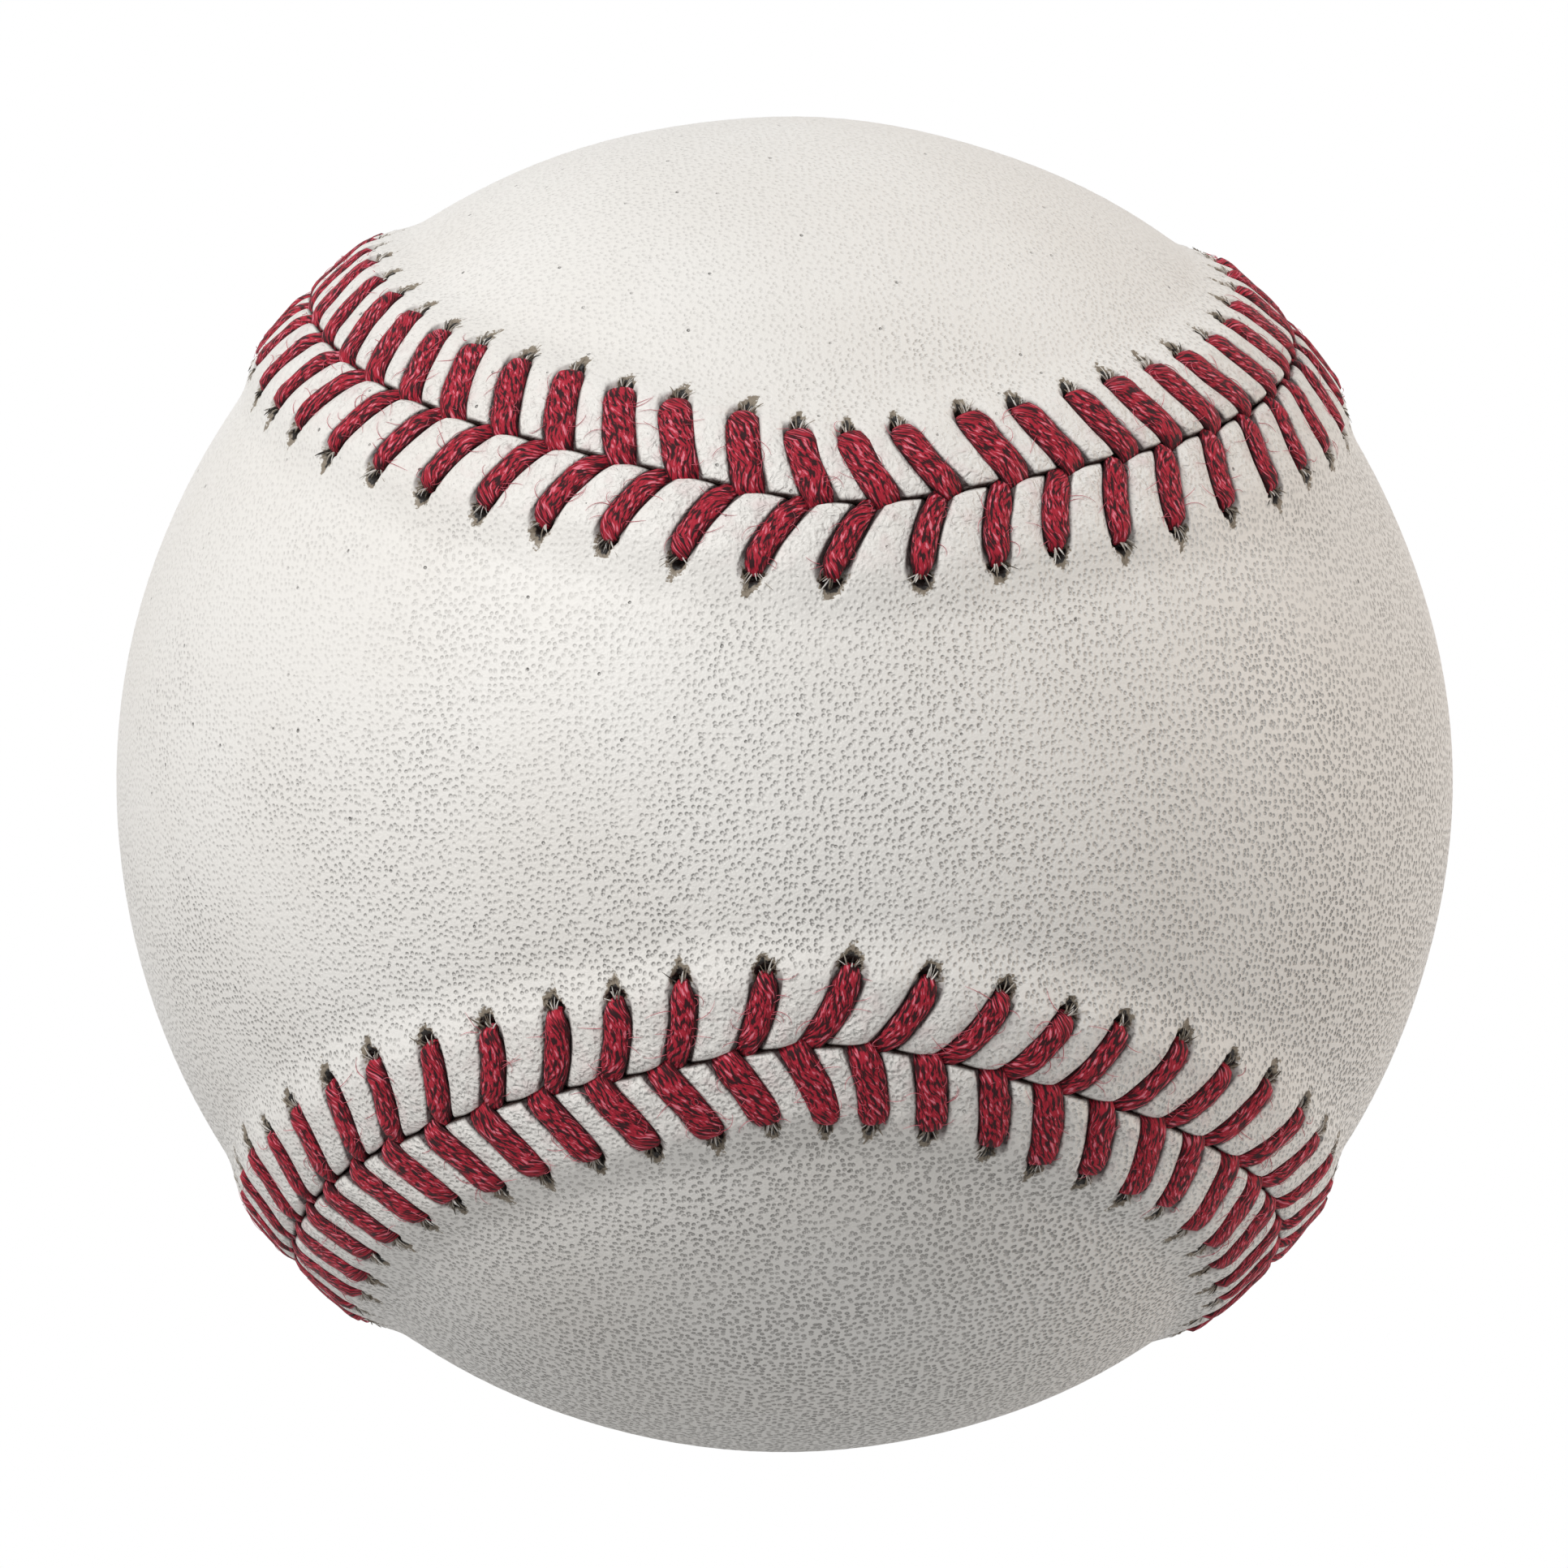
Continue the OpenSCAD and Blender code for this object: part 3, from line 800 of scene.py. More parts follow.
class LooseFibres(Fibres):
    """Fine fibres that the needle pulled out of the thread, lying on the leather beside it."""

    POINTS = 8
    RADIUS = 0.024 * MM
    # Their mean length and its spread, where they start as shares of the reach, and how they turn
    MEAN_LENGTH = 1.0 * MM
    LENGTH_SPREAD = (0.45, 1.6)
    START_SPREAD = (0.12, 0.95)
    HEADING_SPREAD = 0.45
    BEND_SPREAD = 1.9
    # How far beside a leg's middle they start, and how near to the seam and far from it they stay
    START_STEP = 0.5 * MM
    DISTANCES = (0.25 * MM, 7 * MM)
    # How high they lie over the leather, how much higher over the thread, and how high they arch
    LIFT = 0.03 * MM
    THREAD_LIFT = 0.62 * MM
    ARCH = 0.12 * MM

    def build(self):
        rng = np.random.default_rng(41)
        share = np.linspace(0, 1, self.POINTS)
        for _ in range(self.count):
            side = FRONT if rng.random() < 0.5 else BACK
            stitch = rng.integers(self.stitches.count)
            step = self.MEAN_LENGTH * rng.uniform(*self.LENGTH_SPREAD) / (self.POINTS - 1)
            distance = self.stitches.mean_reach * rng.uniform(*self.START_SPREAD)
            run = self.stitches.run_of(side, stitch, distance)
            heading = rng.normal(0, self.HEADING_SPREAD) + (0 if rng.random() < 0.5 else math.pi)
            turned = heading + rng.normal(0, self.BEND_SPREAD) * share
            run = run + self.START_STEP * math.cos(heading) + np.cumsum(np.cos(turned)) * step
            distance = np.clip(distance + np.cumsum(np.sin(turned)) * step, *self.DISTANCES)
            directions = self.stitches.seam.beside(run, side * distance)
            height, _, over_thread = self.leather.measure(side, run, distance, directions)
            height = height + self.LIFT + self.THREAD_LIFT * over_thread
            height = height + self.ARCH * np.sin(math.pi * share) * rng.random()
            self.add(directions * (BALL_RADIUS + height)[:, None], self.RADIUS)
        return mesh_piece("seam_thread_loose_fibres", np.concatenate(self.points), self.faces)


class TornFibres(Fibres):
    """Raw fibres of the leather that stand up in each needle hole and out past its rim."""

    POINTS = 5
    RADIUS = 0.065 * MM
    RADIUS_SPREAD = (0.6, 1.3)
    # How they fan out from the hole, where in it they start, and how long they are
    FAN = math.radians(30)
    HEADING_SPREAD = 0.2
    CURL = 0.3
    START_SIDE = 0.2 * MM
    START_SPREAD_MM = 0.25
    LENGTHS_MM = (0.35, 1.05)
    # How high they stand at the tip, and how deep in the hole their roots are
    RISES_MM = (0.02, 0.16)
    ROOT = 0.3 * MM

    def build(self):
        rng = np.random.default_rng(67)
        tones = []
        share = np.linspace(0, 1, self.POINTS)
        for side in (FRONT, BACK):
            for stitch in np.repeat(np.arange(self.stitches.count), self.count):
                sideways = rng.uniform(-1, 1)
                heading = self.FAN * sideways + rng.normal(0, self.HEADING_SPREAD)
                length = rng.uniform(*self.LENGTHS_MM) * MM
                start = self.stitches.reach_of(side, stitch) - rng.uniform(0, self.START_SPREAD_MM) * MM
                distance = start + share * length * math.cos(heading)
                out_share = share + self.CURL * share ** 2
                off = self.START_SIDE * sideways + out_share * length * math.sin(heading)
                run = self.stitches.run_of(side, stitch, distance) + off
                rise = rng.uniform(*self.RISES_MM) * MM * share - self.ROOT * (1 - share) ** 2
                height = self.leather.ridge_height(distance) + rise
                middle = self.stitches.seam.beside(run, side * distance) * (BALL_RADIUS + height)[:, None]
                self.add(middle, self.RADIUS * rng.uniform(*self.RADIUS_SPREAD))
                tones.append(np.full(3 * self.POINTS, rng.random()))
        tones = {"tone": np.concatenate(tones)}
        return mesh_piece("needle_hole_torn_fibres", np.concatenate(self.points), self.faces, tones)


# Materials

def new_material(name):
    """An empty material, its node tree and its Principled shader."""
    material = bpy.data.materials.new(name)
    material.use_nodes = True
    tree = material.node_tree
    return material, tree, tree.nodes["Principled BSDF"]


def plug(tree, node, inputs):
    """Gives a node its inputs: values, sockets, or nodes that stand for their first output in use."""
    for name, value in inputs.items():
        if isinstance(value, bpy.types.Node):
            value = next(output for output in value.outputs if output.enabled)
        if isinstance(value, bpy.types.NodeSocket):
            tree.links.new(value, node.inputs[name])
        else:
            node.inputs[name].default_value = value


def add(tree, kind, inputs=None, **settings):
    """Adds a shader node with its settings and its inputs."""
    node = tree.nodes.new("ShaderNode" + kind)
    for name, value in settings.items():
        setattr(node, name, value)
    plug(tree, node, inputs or {})
    return node


def alum_tanned_cowhide(settings):
    """White alum-tanned cowhide with its natural grain.

    It is matt and close to white, with fine dimples between rounded pebbles, scattered hair pores,
    faint cloudy patches, and raw brown fibres where the needle went through. Shade is painted deep in
    the dimples and pores, in the grooves under the thread, down in the seam and inside the needle holes.
    """
    material, tree, shader = new_material("alum_tanned_cowhide")
    place = add(tree, "TexCoord").outputs["Object"]
    hide = add(tree, "Attribute", attribute_name="hide_place").outputs["Vector"]
    marks = ("hole", "groove", "distance")
    hole, groove, away = (add(tree, "Attribute", attribute_name=mark).outputs["Fac"] for mark in marks)

    # Nothing in a hide is evenly spaced, so its dimples and pores are swayed to the side
    sway = add(tree, "TexNoise", {"Vector": place, "Scale": 1 / (1.6 * MM), "Detail": 0}).outputs["Color"]
    sway = add(tree, "VectorMath", {0: sway, 1: (0.5, 0.5, 0.5)}, operation="SUBTRACT")
    sway = add(tree, "VectorMath", {0: sway, "Scale": 0.35 * MM}, operation="SCALE")
    hide = add(tree, "VectorMath", {0: hide, 1: sway}, operation="ADD")
    swayed = add(tree, "VectorMath", {0: place, 1: sway}, operation="ADD")

    # Dimples of unequal depth, fainter where the hide is stretched and where the seam lifts it, and
    # stronger towards +x and the bottom, the side of the ball in shade, so that their painted shade is
    # strongest there
    cells = add(
        tree, "TexVoronoi", {"Vector": hide, "Scale": 1 / settings.grain_size, "Randomness": 0.8},
        voronoi_dimensions="2D",
    )
    vigour = add(tree, "SeparateColor", {"Color": cells.outputs["Color"]})
    vigour = add(tree, "MapRange", {"Value": vigour, "To Min": 0.5})
    slope = (0.16 / BALL_RADIUS, 0, -0.32 / BALL_RADIUS)
    drawn = add(tree, "VectorMath", {0: place, 1: slope}, operation="DOT_PRODUCT")
    stretch = add(tree, "TexNoise", {"Vector": place, "Scale": 1 / (9 * MM)})
    stretch = add(tree, "Math", {0: stretch, 1: 0.5, 2: drawn}, operation="MULTIPLY_ADD")
    stretch = add(
        tree, "MapRange",
        {"Value": stretch, "From Min": 0.06, "From Max": 0.56, "To Min": 0.3, "To Max": 1.4},
    )
    slack = add(tree, "MapRange", {"Value": away, "From Min": 3.4 * MM, "From Max": 6 * MM, "To Min": 0.6})
    grain = add(
        tree, "MapRange", {"Value": cells, "From Min": 0.42, "From Max": 0.07},
        interpolation_type="SMOOTHSTEP",
    )
    for share in (vigour, stretch, slack):
        grain = add(tree, "Math", {0: grain, 1: share}, operation="MULTIPLY")

    # Hair pores, of which many are too faint to see
    dots = add(tree, "TexVoronoi", {"Vector": swayed, "Scale": 1 / (1.3 * MM)})
    rare = add(tree, "SeparateColor", {"Color": dots.outputs["Color"]})
    rare = add(tree, "MapRange", {"Value": rare, "From Min": 0.35, "From Max": 0.9})
    pore = add(tree, "MapRange", {"Value": dots, "From Min": 0.085, "From Max": 0.03})
    pore = add(tree, "Math", {0: pore, 1: rare}, operation="MULTIPLY")
    # Painted shade deep in the dimples and the pores, as a darker colour
    depth = add(tree, "Math", {0: grain, 1: 0.37}, operation="MULTIPLY")
    depth = add(tree, "Math", {0: pore, 1: 0.5, 2: depth}, operation="MULTIPLY_ADD", use_clamp=True)
    cloud = add(tree, "TexNoise", {"Vector": place, "Scale": 1 / (14 * MM), "Detail": 4})
    cloud = add(tree, "MapRange", {"Value": cloud, "From Min": 0.35, "From Max": 0.7})

    # By the thread: dye that rubbed off, painted shade in the grooves under it, and painted shade down in
    # the seam
    near = add(tree, "MapRange", {"Value": away, "From Min": 5.2 * MM, "From Max": 1 * MM})
    dye = add(tree, "TexNoise", {"Vector": place, "Scale": 1 / (1.1 * MM), "Detail": 3})
    dye = add(tree, "MapRange", {"Value": dye, "From Min": 0.5, "From Max": 0.75})
    for share in (near, 0.22):
        dye = add(tree, "Math", {0: dye, 1: share}, operation="MULTIPLY")
    # Painted shade in the grooves under and beside the legs, lighter past a leg's outer end
    groove_shade = add(tree, "MapRange", {"Value": groove, "From Min": 0.02, "From Max": 0.2, "To Max": 0.92})
    tight = {"Value": away, "From Min": 4.5 * MM, "From Max": 3.7 * MM, "To Min": 0.3}
    tight = add(tree, "MapRange", tight)
    groove_shade = add(tree, "Math", {0: groove_shade, 1: tight}, operation="MULTIPLY")
    # Painted shade down in the gap of the seam
    seam = add(tree, "MapRange", {"Value": away, "From Min": 0.22 * MM, "From Max": 0.08 * MM})

    # In the holes: raw leather up to a ragged rim, and painted shade inside, near black, less so at the
    # outer end
    frayed = add(tree, "TexNoise", {"Vector": place, "Scale": 1 / (0.22 * MM), "Detail": 3})
    torn = add(tree, "Math", {0: hole, 1: frayed}, operation="ADD")
    inside = add(tree, "Math", {0: hole, 1: 0.01}, operation="GREATER_THAN")
    raw = add(tree, "MapRange", {"Value": torn, "From Min": 0.53, "From Max": 0.66})
    raw = add(tree, "Math", {0: raw, 1: inside}, operation="MULTIPLY")
    past = add(
        tree, "MapRange", {"Value": away, "From Min": 4.7 * MM, "From Max": 5.25 * MM, "To Max": 0.35}
    )
    deep = add(tree, "Math", {0: torn, 1: past}, operation="SUBTRACT")
    deep = add(tree, "MapRange", {"Value": deep, "From Min": 0.68, "From Max": 0.84})

    layers = (
        (cloud, settings.shade_colour),
        (depth, settings.dimple_shade_colour),
        (dye, settings.dye_colour),
        (groove_shade, settings.groove_shade_colour),
        (seam, settings.seam_shade_colour),
        (raw, settings.torn_colour),
        (deep, settings.hole_shade_colour),
    )
    colour = linear(settings.colour)
    for share, layer in layers:
        colour = add(tree, "Mix", {"Factor": share, "A": colour, "B": linear(layer)}, data_type="RGBA")

    fine = add(tree, "TexNoise", {"Vector": place, "Scale": 1 / (0.16 * MM), "Detail": 2})
    wrinkles = {"Vector": place, "Scale": 1 / (0.55 * MM), "Detail": 2, "Distortion": 0.8}
    wrinkles = add(tree, "Math", {0: add(tree, "TexNoise", wrinkles), 1: near}, operation="MULTIPLY")
    raised = 0.0
    for form, height in ((fine, 0.15), (wrinkles, 1.3), (grain, -0.62), (pore, -1.2)):
        raised = add(tree, "Math", {0: form, 1: height, 2: raised}, operation="MULTIPLY_ADD")
    bump = add(tree, "Bump", {"Height": raised, "Distance": 0.24 * MM, "Strength": 1.0})
    roughness = add(tree, "MapRange", {"Value": grain, "To Min": 0.5, "To Max": 0.68})
    plug(tree, shader, {"Base Color": colour, "Roughness": roughness, "Normal": bump})
    return material


def waxed_cotton_thread(settings):
    """Waxed cotton thread, spun and twisted, dyed crimson.

    Its plies show as slanting ropes, with dark flecks, painted shade in the gaps between fibres and on
    its underside, pale rubbed ones on top, and a soft shine from the wax.
    """
    material, tree, shader = new_material("waxed_cotton_thread")
    along = add(tree, "Attribute", attribute_name="thread_place").outputs["Vector"]
    underside = add(tree, "Attribute", attribute_name="underside").outputs["Fac"]
    straight = add(tree, "Mapping", {"Vector": along, "Scale": (1 / (0.9 * MM), 1 / (0.18 * MM), 0)})
    slanted = add(
        tree, "Mapping",
        {"Vector": along, "Rotation": (0, 0, math.radians(-26)), "Scale": (0.65 * MM, 0.17 * MM, 1)},
        vector_type="TEXTURE",
    )
    fibres = add(tree, "TexNoise", {"Vector": straight, "Scale": 1, "Detail": 3})
    crossing = add(tree, "TexNoise", {"Vector": slanted, "Scale": 1, "Detail": 2})
    # The gaps between the fibres are painted shade, darker towards the thread's underside
    gaps = add(tree, "Math", {0: underside, 1: -0.1, 2: fibres}, operation="MULTIPLY_ADD")
    worn = add(tree, "Math", {0: fibres, 1: crossing}, operation="MULTIPLY")
    # Each pattern, its values where the colour starts and is full, how full, and the colour
    layers = (
        (gaps, 0.54, 0.44, 1, settings.fleck_and_shade_colour),
        (crossing, 0.51, 0.43, 1, settings.fleck_and_shade_colour),
        (worn, 0.31, 0.37, 1, settings.worn_colour),
        # Painted shade on the lower flanks and the underside of the thread
        (underside, -0.65, -0.15, 0.85, settings.fleck_and_shade_colour),
    )
    colour = linear(settings.colour)
    for pattern, start, full, most, layer in layers:
        ramp = {"Value": pattern, "From Min": start, "From Max": full, "To Max": most}
        share = add(tree, "MapRange", ramp)
        colour = add(tree, "Mix", {"Factor": share, "A": colour, "B": linear(layer)}, data_type="RGBA")
    raised = add(tree, "Math", {0: crossing, 1: 0.7, 2: fibres}, operation="MULTIPLY_ADD")
    bump = add(tree, "Bump", {"Height": raised, "Distance": 0.09 * MM, "Strength": 0.9})
    wax = {"Roughness": 0.7, "Specular IOR Level": 0.25, "Sheen Weight": 0.02}
    plug(tree, shader, {"Base Color": colour, "Normal": bump, **wax})
    return material


def raw_leather_fibres(settings):
    """Raw inner fibres of the hide, torn up by the needle: matt, from pale tan to a soiled brown."""
    material, tree, shader = new_material("raw_leather_fibres")
    tone = add(tree, "Attribute", attribute_name="tone").outputs["Fac"]
    place = add(tree, "TexCoord").outputs["Object"]
    noise = add(tree, "TexNoise", {"Vector": place, "Scale": 1 / (0.3 * MM)})
    tone = add(tree, "Math", {0: noise, 1: 0.5, 2: tone}, operation="MULTIPLY_ADD")
    colour = linear(settings.torn_colour)
    # The darkest fibres take the colour of the painted shade in the holes
    for start, full, layer in ((0.65, 1.15, settings.shade_colour), (0.55, 0.32, settings.hole_shade_colour)):
        share = add(tree, "MapRange", {"Value": tone, "From Min": start, "From Max": full})
        colour = add(tree, "Mix", {"Factor": share, "A": colour, "B": linear(layer)}, data_type="RGBA")
    plug(tree, shader, {"Base Color": colour, "Roughness": 0.85})
    return material


def loose_cotton_fibres(settings):
    """Single cotton fibres rubbed out of the dyed thread: thin, matt and a paler red than the thread."""
    material, tree, shader = new_material("loose_cotton_fibres")
    place = add(tree, "TexCoord").outputs["Object"]
    noise = add(tree, "TexNoise", {"Vector": place, "Scale": 1 / (0.8 * MM)})
    colours = {"A": linear(settings.colour), "B": linear(settings.worn_colour)}
    colour = add(tree, "Mix", {"Factor": noise, **colours}, data_type="RGBA")
    plug(tree, shader, {"Base Color": colour, "Roughness": 0.8})
    return material


def wound_yarn(name, colour, strand, depth, patch):
    """Yarn wound tightly over a ball, in crossing runs of parallel strands.

    The eye sees rounded strands with painted shade in the gaps between them, which change direction
    from patch to patch.
    """
    material, tree, shader = new_material(name)
    place = add(tree, "TexCoord").outputs["Object"]
    axis = add(tree, "TexVoronoi", {"Vector": place, "Scale": 1 / patch}).outputs["Color"]
    axis = add(tree, "VectorMath", {0: axis, 1: (0.5, 0.5, 0.5)}, operation="SUBTRACT")
    axis = add(tree, "VectorMath", {0: axis}, operation="NORMALIZE")
    across = add(tree, "VectorMath", {0: place, 1: axis}, operation="DOT_PRODUCT")
    roundness = add(tree, "Math", {0: across, 1: math.pi / strand}, operation="MULTIPLY")
    for operation in ("SINE", "ABSOLUTE"):
        roundness = add(tree, "Math", {0: roundness}, operation=operation)
    fibre = add(tree, "TexNoise", {"Vector": place, "Scale": 1 / (strand / 3), "Detail": 4})
    # Darker yarn: painted shade in the gaps between the strands, and at half strength a random mottle of
    # darker fibres
    dark = toned(colour, 0.35)
    shade = linear(colour)
    for pattern, start, full, most in ((roundness, 0.45, 0.05, 1), (fibre, 0.6, 0.3, 0.5)):
        ramp = {"Value": pattern, "From Min": start, "From Max": full, "To Max": most}
        share = add(tree, "MapRange", ramp)
        shade = add(tree, "Mix", {"Factor": share, "A": shade, "B": dark}, data_type="RGBA")
    raised = add(tree, "Math", {0: fibre, 1: 0.3, 2: roundness}, operation="MULTIPLY_ADD")
    bump = add(tree, "Bump", {"Height": raised, "Distance": depth})
    plug(tree, shader, {"Base Color": shade, "Normal": bump, "Roughness": 0.92, "Sheen Weight": 0.2})
    return material


def moulded_rubber(name, colour):
    """Rubber moulded in a sand-blasted mould: a dull surface with a fine tooth and faint clouds."""
    material, tree, shader = new_material(name)
    place = add(tree, "TexCoord").outputs["Object"]
    tooth = add(tree, "TexNoise", {"Vector": place, "Scale": 1 / (0.3 * MM), "Detail": 3})
    cloud = add(tree, "TexNoise", {"Vector": place, "Scale": 1 / (5 * MM), "Detail": 3})
    shades = {"A": linear(colour), "B": toned(colour, 1.5, 0.01)}
    shade = add(tree, "Mix", {"Factor": cloud, **shades}, data_type="RGBA")
    roughness = add(tree, "MapRange", {"Value": cloud, "To Min": 0.5, "To Max": 0.72})
    bump = add(tree, "Bump", {"Height": tooth, "Distance": 0.03 * MM})
    plug(tree, shader, {"Base Color": shade, "Roughness": roughness, "Normal": bump})
    return material


def bonded_cork(settings):
    """Cork ground to grains and pressed together with rubber: tan grains in brown seams, quite matt."""
    material, tree, shader = new_material("bonded_cork")
    grains = {"Vector": add(tree, "TexCoord").outputs["Object"], "Scale": 1 / (1.6 * MM)}
    tone = add(tree, "SeparateColor", {"Color": add(tree, "TexVoronoi", grains).outputs["Color"]})
    edge = add(tree, "TexVoronoi", grains, feature="DISTANCE_TO_EDGE")
    seams = add(tree, "MapRange", {"Value": edge, "From Min": 0.09, "From Max": 0.02})
    colour = linear(settings.cork)
    for share, layer in ((tone, settings.dark_cork), (seams, settings.cork_seams)):
        colour = add(tree, "Mix", {"Factor": share, "A": colour, "B": linear(layer)}, data_type="RGBA")
    bump = add(tree, "Bump", {"Height": edge, "Distance": 0.15 * MM})
    plug(tree, shader, {"Base Color": colour, "Normal": bump, "Roughness": 0.88})
    return material


def white_paper_floor(settings):
    """Matt white paper under the ball, which fades to plain white further out.

    The camera and mirror-like rays see it white, apart from the ball's shadow. To other rays it is
    evenly lit, as the sheet of a light tent is. Its underside can't be seen, because the picture is
    taken from a hair below the paper.
    """
    material, tree, shader = new_material("white_paper_floor")
    tree.nodes.remove(shader)
    white = linear(WHITE)
    place = add(tree, "TexCoord").outputs["Object"]
    distance = add(tree, "VectorMath", {0: place}, operation="LENGTH")
    fade = add(
        tree, "MapRange", {"Value": distance, "From Min": 10 * MM, "From Max": 75 * MM, "To Min": 0.35},
        interpolation_type="SMOOTHSTEP",
    )
    fibre = add(tree, "TexNoise", {"Vector": place, "Scale": 1 / (2 * MM), "Detail": 4})
    sheet = add(tree, "Mix", {"Factor": fibre, "A": linear(settings.paper), "B": white}, data_type="RGBA")
    sheet = add(tree, "BsdfDiffuse", {"Color": sheet})
    plain = add(tree, "Emission", {"Color": white, "Strength": 1.0})
    seen = add(tree, "MixShader", {0: fade, 1: sheet, 2: plain})
    unseen = add(tree, "Emission", {"Color": white, "Strength": settings.bounce})
    surface = add(tree, "MixShader", {0: straight_ray(tree), 1: unseen, 2: seen})
    underside = add(tree, "NewGeometry").outputs["Backfacing"]
    surface = add(tree, "MixShader", {0: underside, 1: surface, 2: add(tree, "BsdfTransparent")})
    plug(tree, tree.nodes["Material Output"], {"Surface": surface})
    return material


def straight_ray(tree):
    """1 for a ray from the camera, off a mirror or through glass, and 0 for all others."""
    rays = add(tree, "LightPath").outputs
    straight = rays["Is Camera Ray"]
    for name in ("Is Glossy Ray", "Is Transmission Ray"):
        straight = add(tree, "Math", {0: straight, 1: rays[name]}, operation="MAXIMUM")
    return straight


# Operators

def sewn_leather(scene):
    """The form of the leather with its stitches, from the scene's settings."""
    stitches = Stitches(Seam(scene.ball_seam), scene.ball_seam)
    return Leather(stitches, scene.ball_cover)


class BASEBALL_OT_cover(bpy.types.Operator):
    """Builds the two leather panels and the torn fibres in their holes"""

    bl_idname = "baseball.cover"
    bl_label = "Leather panels"

    def execute(self, context):
        settings = context.scene.ball_cover
        leather = sewn_leather(context.scene)
        material = alum_tanned_cowhide(settings)
        for side, name in ((FRONT, "front_leather"), (BACK, "back_leather")):
            panel = LeatherPanel(side, leather).build(name)
            finish_piece(panel, material, [name + "_panel"])
        torn = TornFibres(leather, settings.torn_fibres).build()
        finish_piece(torn, raw_leather_fibres(settings))
        return {"FINISHED"}


class BASEBALL_OT_thread(bpy.types.Operator):
    """Builds the legs of the seam thread and its loose fibres"""

    bl_idname = "baseball.thread"
    bl_label = "Seam thread"

    def execute(self, context):
        settings = context.scene.ball_thread
        leather = sewn_leather(context.scene)
        thread = ThreadLegs(leather, settings).build()
        finish_piece(thread, waxed_cotton_thread(settings), ["seam_thread"])
        loose = LooseFibres(leather, settings.fibres).build()
        finish_piece(loose, loose_cotton_fibres(settings))
        return {"FINISHED"}


class BASEBALL_OT_inside(bpy.types.Operator):
    """Gives the windings, the rubber shells and the core their materials"""

    bl_idname = "baseball.inside"
    bl_label = "Windings and core"

    def execute(self, context):
        inside = context.scene.ball_inside
        grey_wool = wound_yarn("wound_grey_wool", inside.grey_wool, 1.5 * MM, 0.5 * MM, 13 * MM)
        white_wool = wound_yarn("wound_white_wool", inside.white_wool, 1.2 * MM, 0.4 * MM, 13 * MM)
        yarn = wound_yarn("wound_poly_cotton_yarn", inside.finishing_yarn, 0.45 * MM, 0.12 * MM, 17 * MM)
        red_rubber = moulded_rubber("moulded_red_rubber", inside.red_rubber)
        black_rubber = moulded_rubber("moulded_black_rubber", inside.black_rubber)
        materials = {
            "finishing_yarn_winding": yarn,
            "outer_grey_wool_winding": grey_wool,
            "white_wool_winding": white_wool,
            "grey_wool_winding": grey_wool,
            "red_rubber_upper_half": red_rubber,
            "red_rubber_lower_half": red_rubber,
            "red_rubber_gasket": red_rubber,
            "black_rubber_upper_half": black_rubber,
            "black_rubber_lower_half": black_rubber,
            "cork_core": bonded_cork(inside),
        }
        for node, material in materials.items():
            slots = frame["nodes"][node].data.materials
            slots.clear()
            slots.append(material)
        return {"FINISHED"}


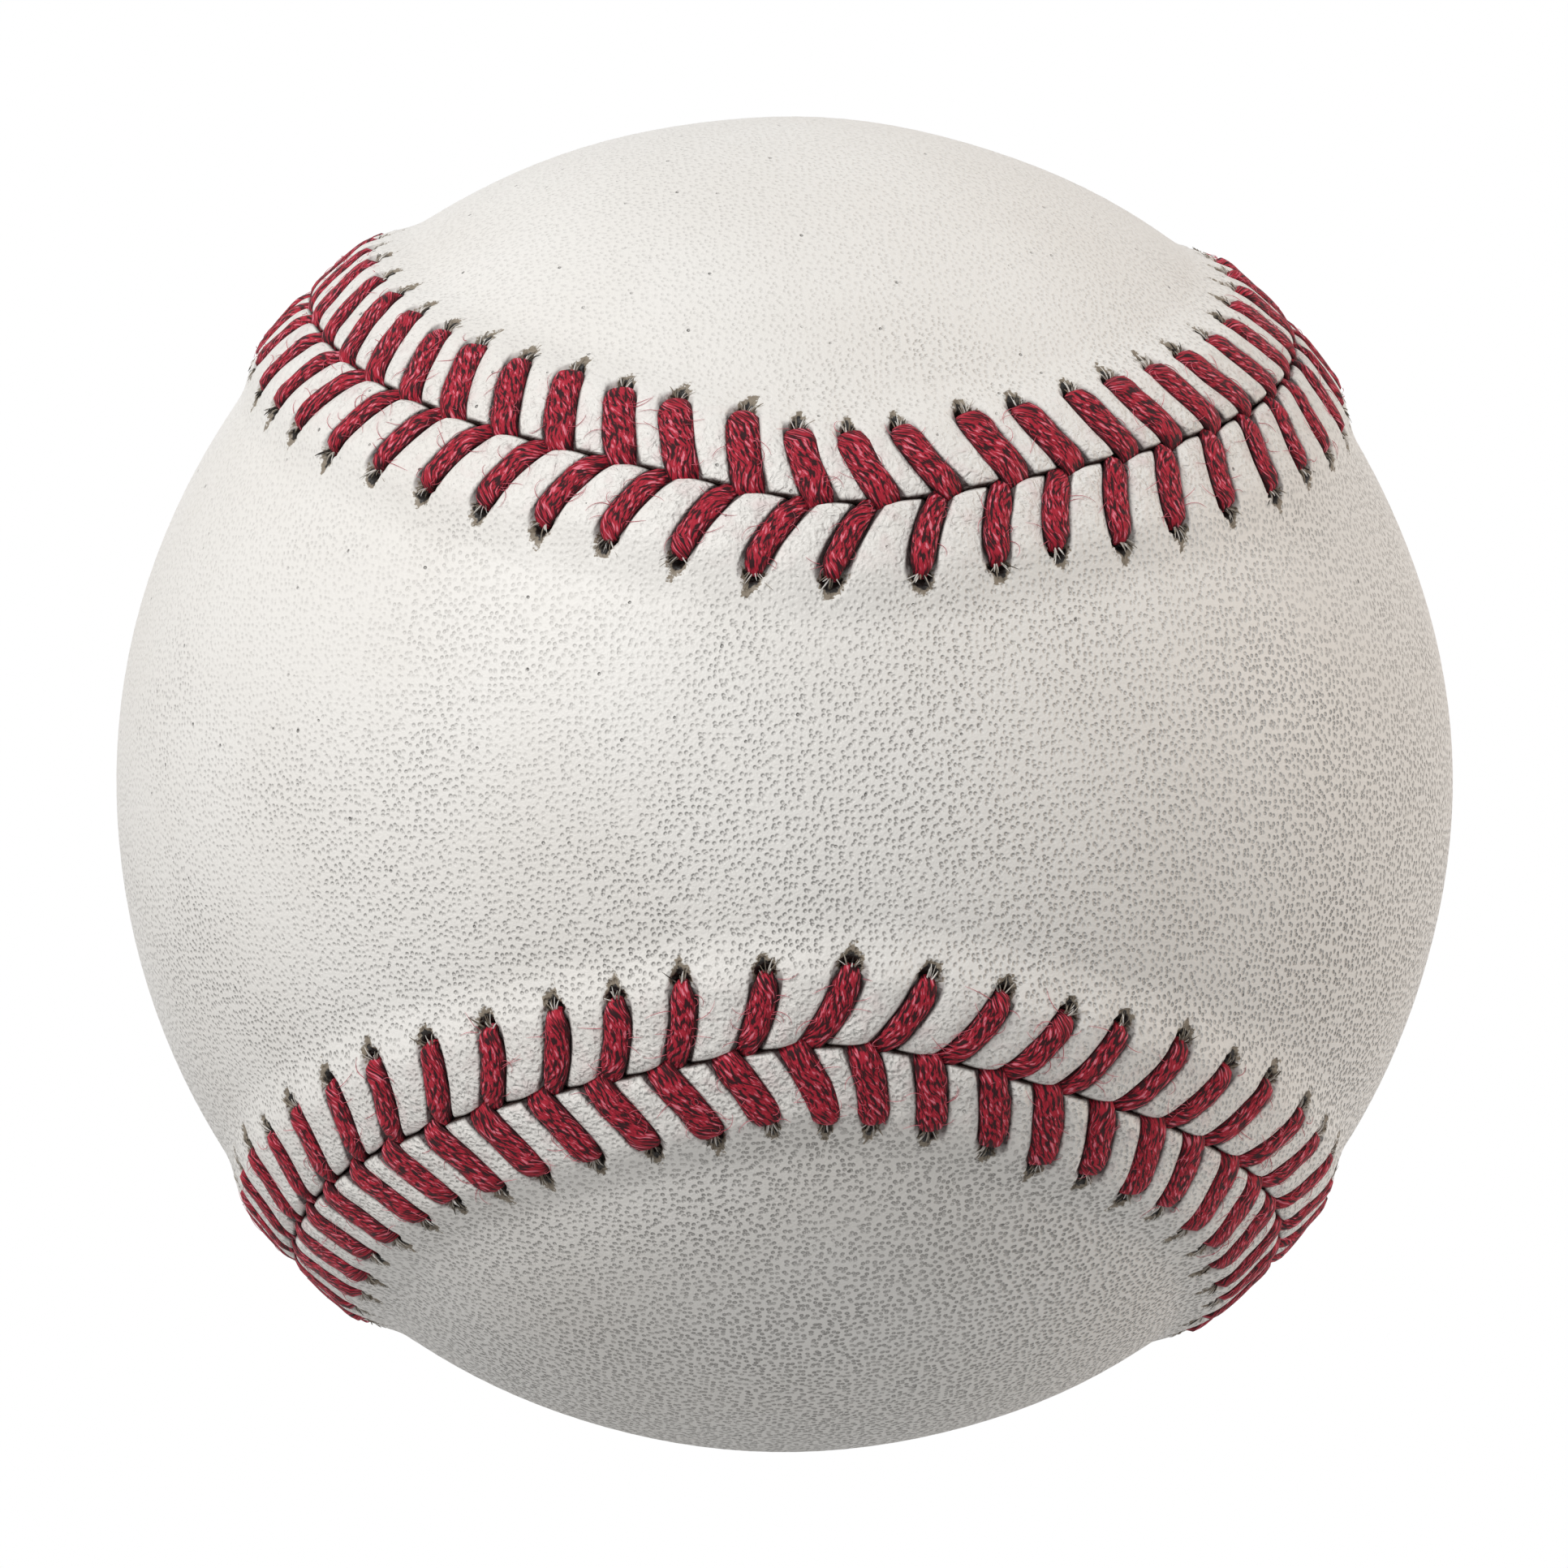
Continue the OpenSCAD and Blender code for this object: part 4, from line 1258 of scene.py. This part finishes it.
class BASEBALL_OT_stage(bpy.types.Operator):
    """Sets the floor, the lamps, the camera and the white surround"""

    bl_idname = "baseball.stage"
    bl_label = "Stage"

    FLOOR_RADIUS = 2.6
    FLOOR_SIDES = 96
    # Where each lamp stands, to the right, away and up from the ball's middle, and its width
    KEY_PLACE = (-0.74, -0.86, 0.7)
    KEY_WIDTH = 0.5
    SIDE_PLACE = (0.95, 0.1, 0.2)
    SIDE_WIDTH = 0.3
    # The ball's smooth radius as the camera sees it, in pixels of a 1932 pixel wide frame
    RADIUS_PX = 823
    FRAME_PX = 1932
    # Distance of the camera, in radii of the ball: far enough for the photograph's flat view
    CAMERA_RADII = 60
    SENSOR_MM = 36
    # The nearest and the furthest distance that the camera shows
    CLIPPING = (0.05, 20)

    def execute(self, context):
        settings = context.scene.ball_stage
        tilt, roll, turn = settings.view
        # The columns are the picture's axes, to the right, away and up, in the ball's frame
        self.axes = (
            Matrix.Rotation(roll, 3, "Y") @ Matrix.Rotation(tilt, 3, "X") @ Matrix.Rotation(turn, 3, "Z")
        ).transposed()
        self.floor(settings)
        self.lamp("key", self.KEY_PLACE, self.KEY_WIDTH, settings.key, WHITE)
        self.lamp("side", self.SIDE_PLACE, self.SIDE_WIDTH, settings.side, settings.side_colour)
        self.surround(context.scene, settings)
        self.camera(context.scene)
        context.scene.view_settings.view_transform = "Standard"
        return {"FINISHED"}

    def floor(self, settings):
        angle = 2 * math.pi * np.arange(self.FLOOR_SIDES) / self.FLOOR_SIDES
        points = np.stack([np.cos(angle), np.sin(angle), 0 * angle], axis=-1) * self.FLOOR_RADIUS
        floor = mesh_piece("floor", points, [list(range(self.FLOOR_SIDES))])
        floor.location.z = -BALL_RADIUS
        floor.data.materials.append(white_paper_floor(settings))
        floor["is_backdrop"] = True

    def lamp(self, name, place, width, power, colour):
        data = bpy.data.lights.new(name, "AREA")
        data.shape = "DISK"
        data.size = width
        data.energy = power
        data.color = linear(colour)[:3]
        lamp = bpy.data.objects.new(name, data)
        lamp.location = self.axes @ Vector(place)
        lamp.rotation_euler = lamp.location.to_track_quat("Z", "Y").to_euler()
        bpy.context.scene.collection.objects.link(lamp)

    def surround(self, scene, settings):
        world = bpy.data.worlds.new("white_surround")
        world.use_nodes = True
        scene.world = world
        tree = world.node_tree
        light = {"Value": straight_ray(tree), "To Min": settings.fill, "To Max": 1.0}
        surround = {"Color": linear(WHITE), "Strength": add(tree, "MapRange", light)}
        plug(tree, tree.nodes["Background"], surround)

    def camera(self, scene):
        data = bpy.data.cameras.new("camera")
        data.sensor_width = self.SENSOR_MM
        data.lens = data.sensor_width * self.RADIUS_PX * self.CAMERA_RADII / self.FRAME_PX
        data.clip_start, data.clip_end = self.CLIPPING
        camera = bpy.data.objects.new("camera", data)
        place = self.axes @ Vector((0, -self.CAMERA_RADII * BALL_RADIUS, 0))
        facing = self.axes @ Matrix.Rotation(math.pi / 2, 3, "X")
        camera.matrix_world = Matrix.Translation(place) @ facing.to_4x4()
        scene.collection.objects.link(camera)
        scene.camera = camera


OPERATORS = (BASEBALL_OT_cover, BASEBALL_OT_thread, BASEBALL_OT_inside, BASEBALL_OT_stage)


class BASEBALL_PT_sidebar(bpy.types.Panel):
    """Lists the steps that build the ball and their settings"""

    bl_idname = "BASEBALL_PT_sidebar"
    bl_label = "Baseball"
    bl_space_type = "VIEW_3D"
    bl_region_type = "UI"
    bl_category = "Baseball"

    def draw(self, context):
        layout = self.layout
        for operator in OPERATORS:
            layout.operator(operator.bl_idname)
        for name, group in SETTINGS.items():
            box = layout.box()
            box.label(text=group.__doc__)
            for setting in group.__annotations__:
                box.prop(getattr(context.scene, name), setting)


CLASSES = (*SETTINGS.values(), *OPERATORS, BASEBALL_PT_sidebar)


def register():
    for cls in CLASSES:
        bpy.utils.register_class(cls)
    for name, group in SETTINGS.items():
        setattr(bpy.types.Scene, name, PointerProperty(type=group))


def unregister():
    for name in SETTINGS:
        delattr(bpy.types.Scene, name)
    for cls in reversed(CLASSES):
        bpy.utils.unregister_class(cls)


def corners():
    """The lowest and highest corners of what shows, as plain lists."""
    return [list(corner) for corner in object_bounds()]


def main():
    register()
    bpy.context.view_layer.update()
    bpy.ops.baseball.cover()
    bpy.ops.baseball.thread()
    bpy.ops.baseball.inside()
    bpy.ops.baseball.stage()


if __name__ == "__main__":
    main()
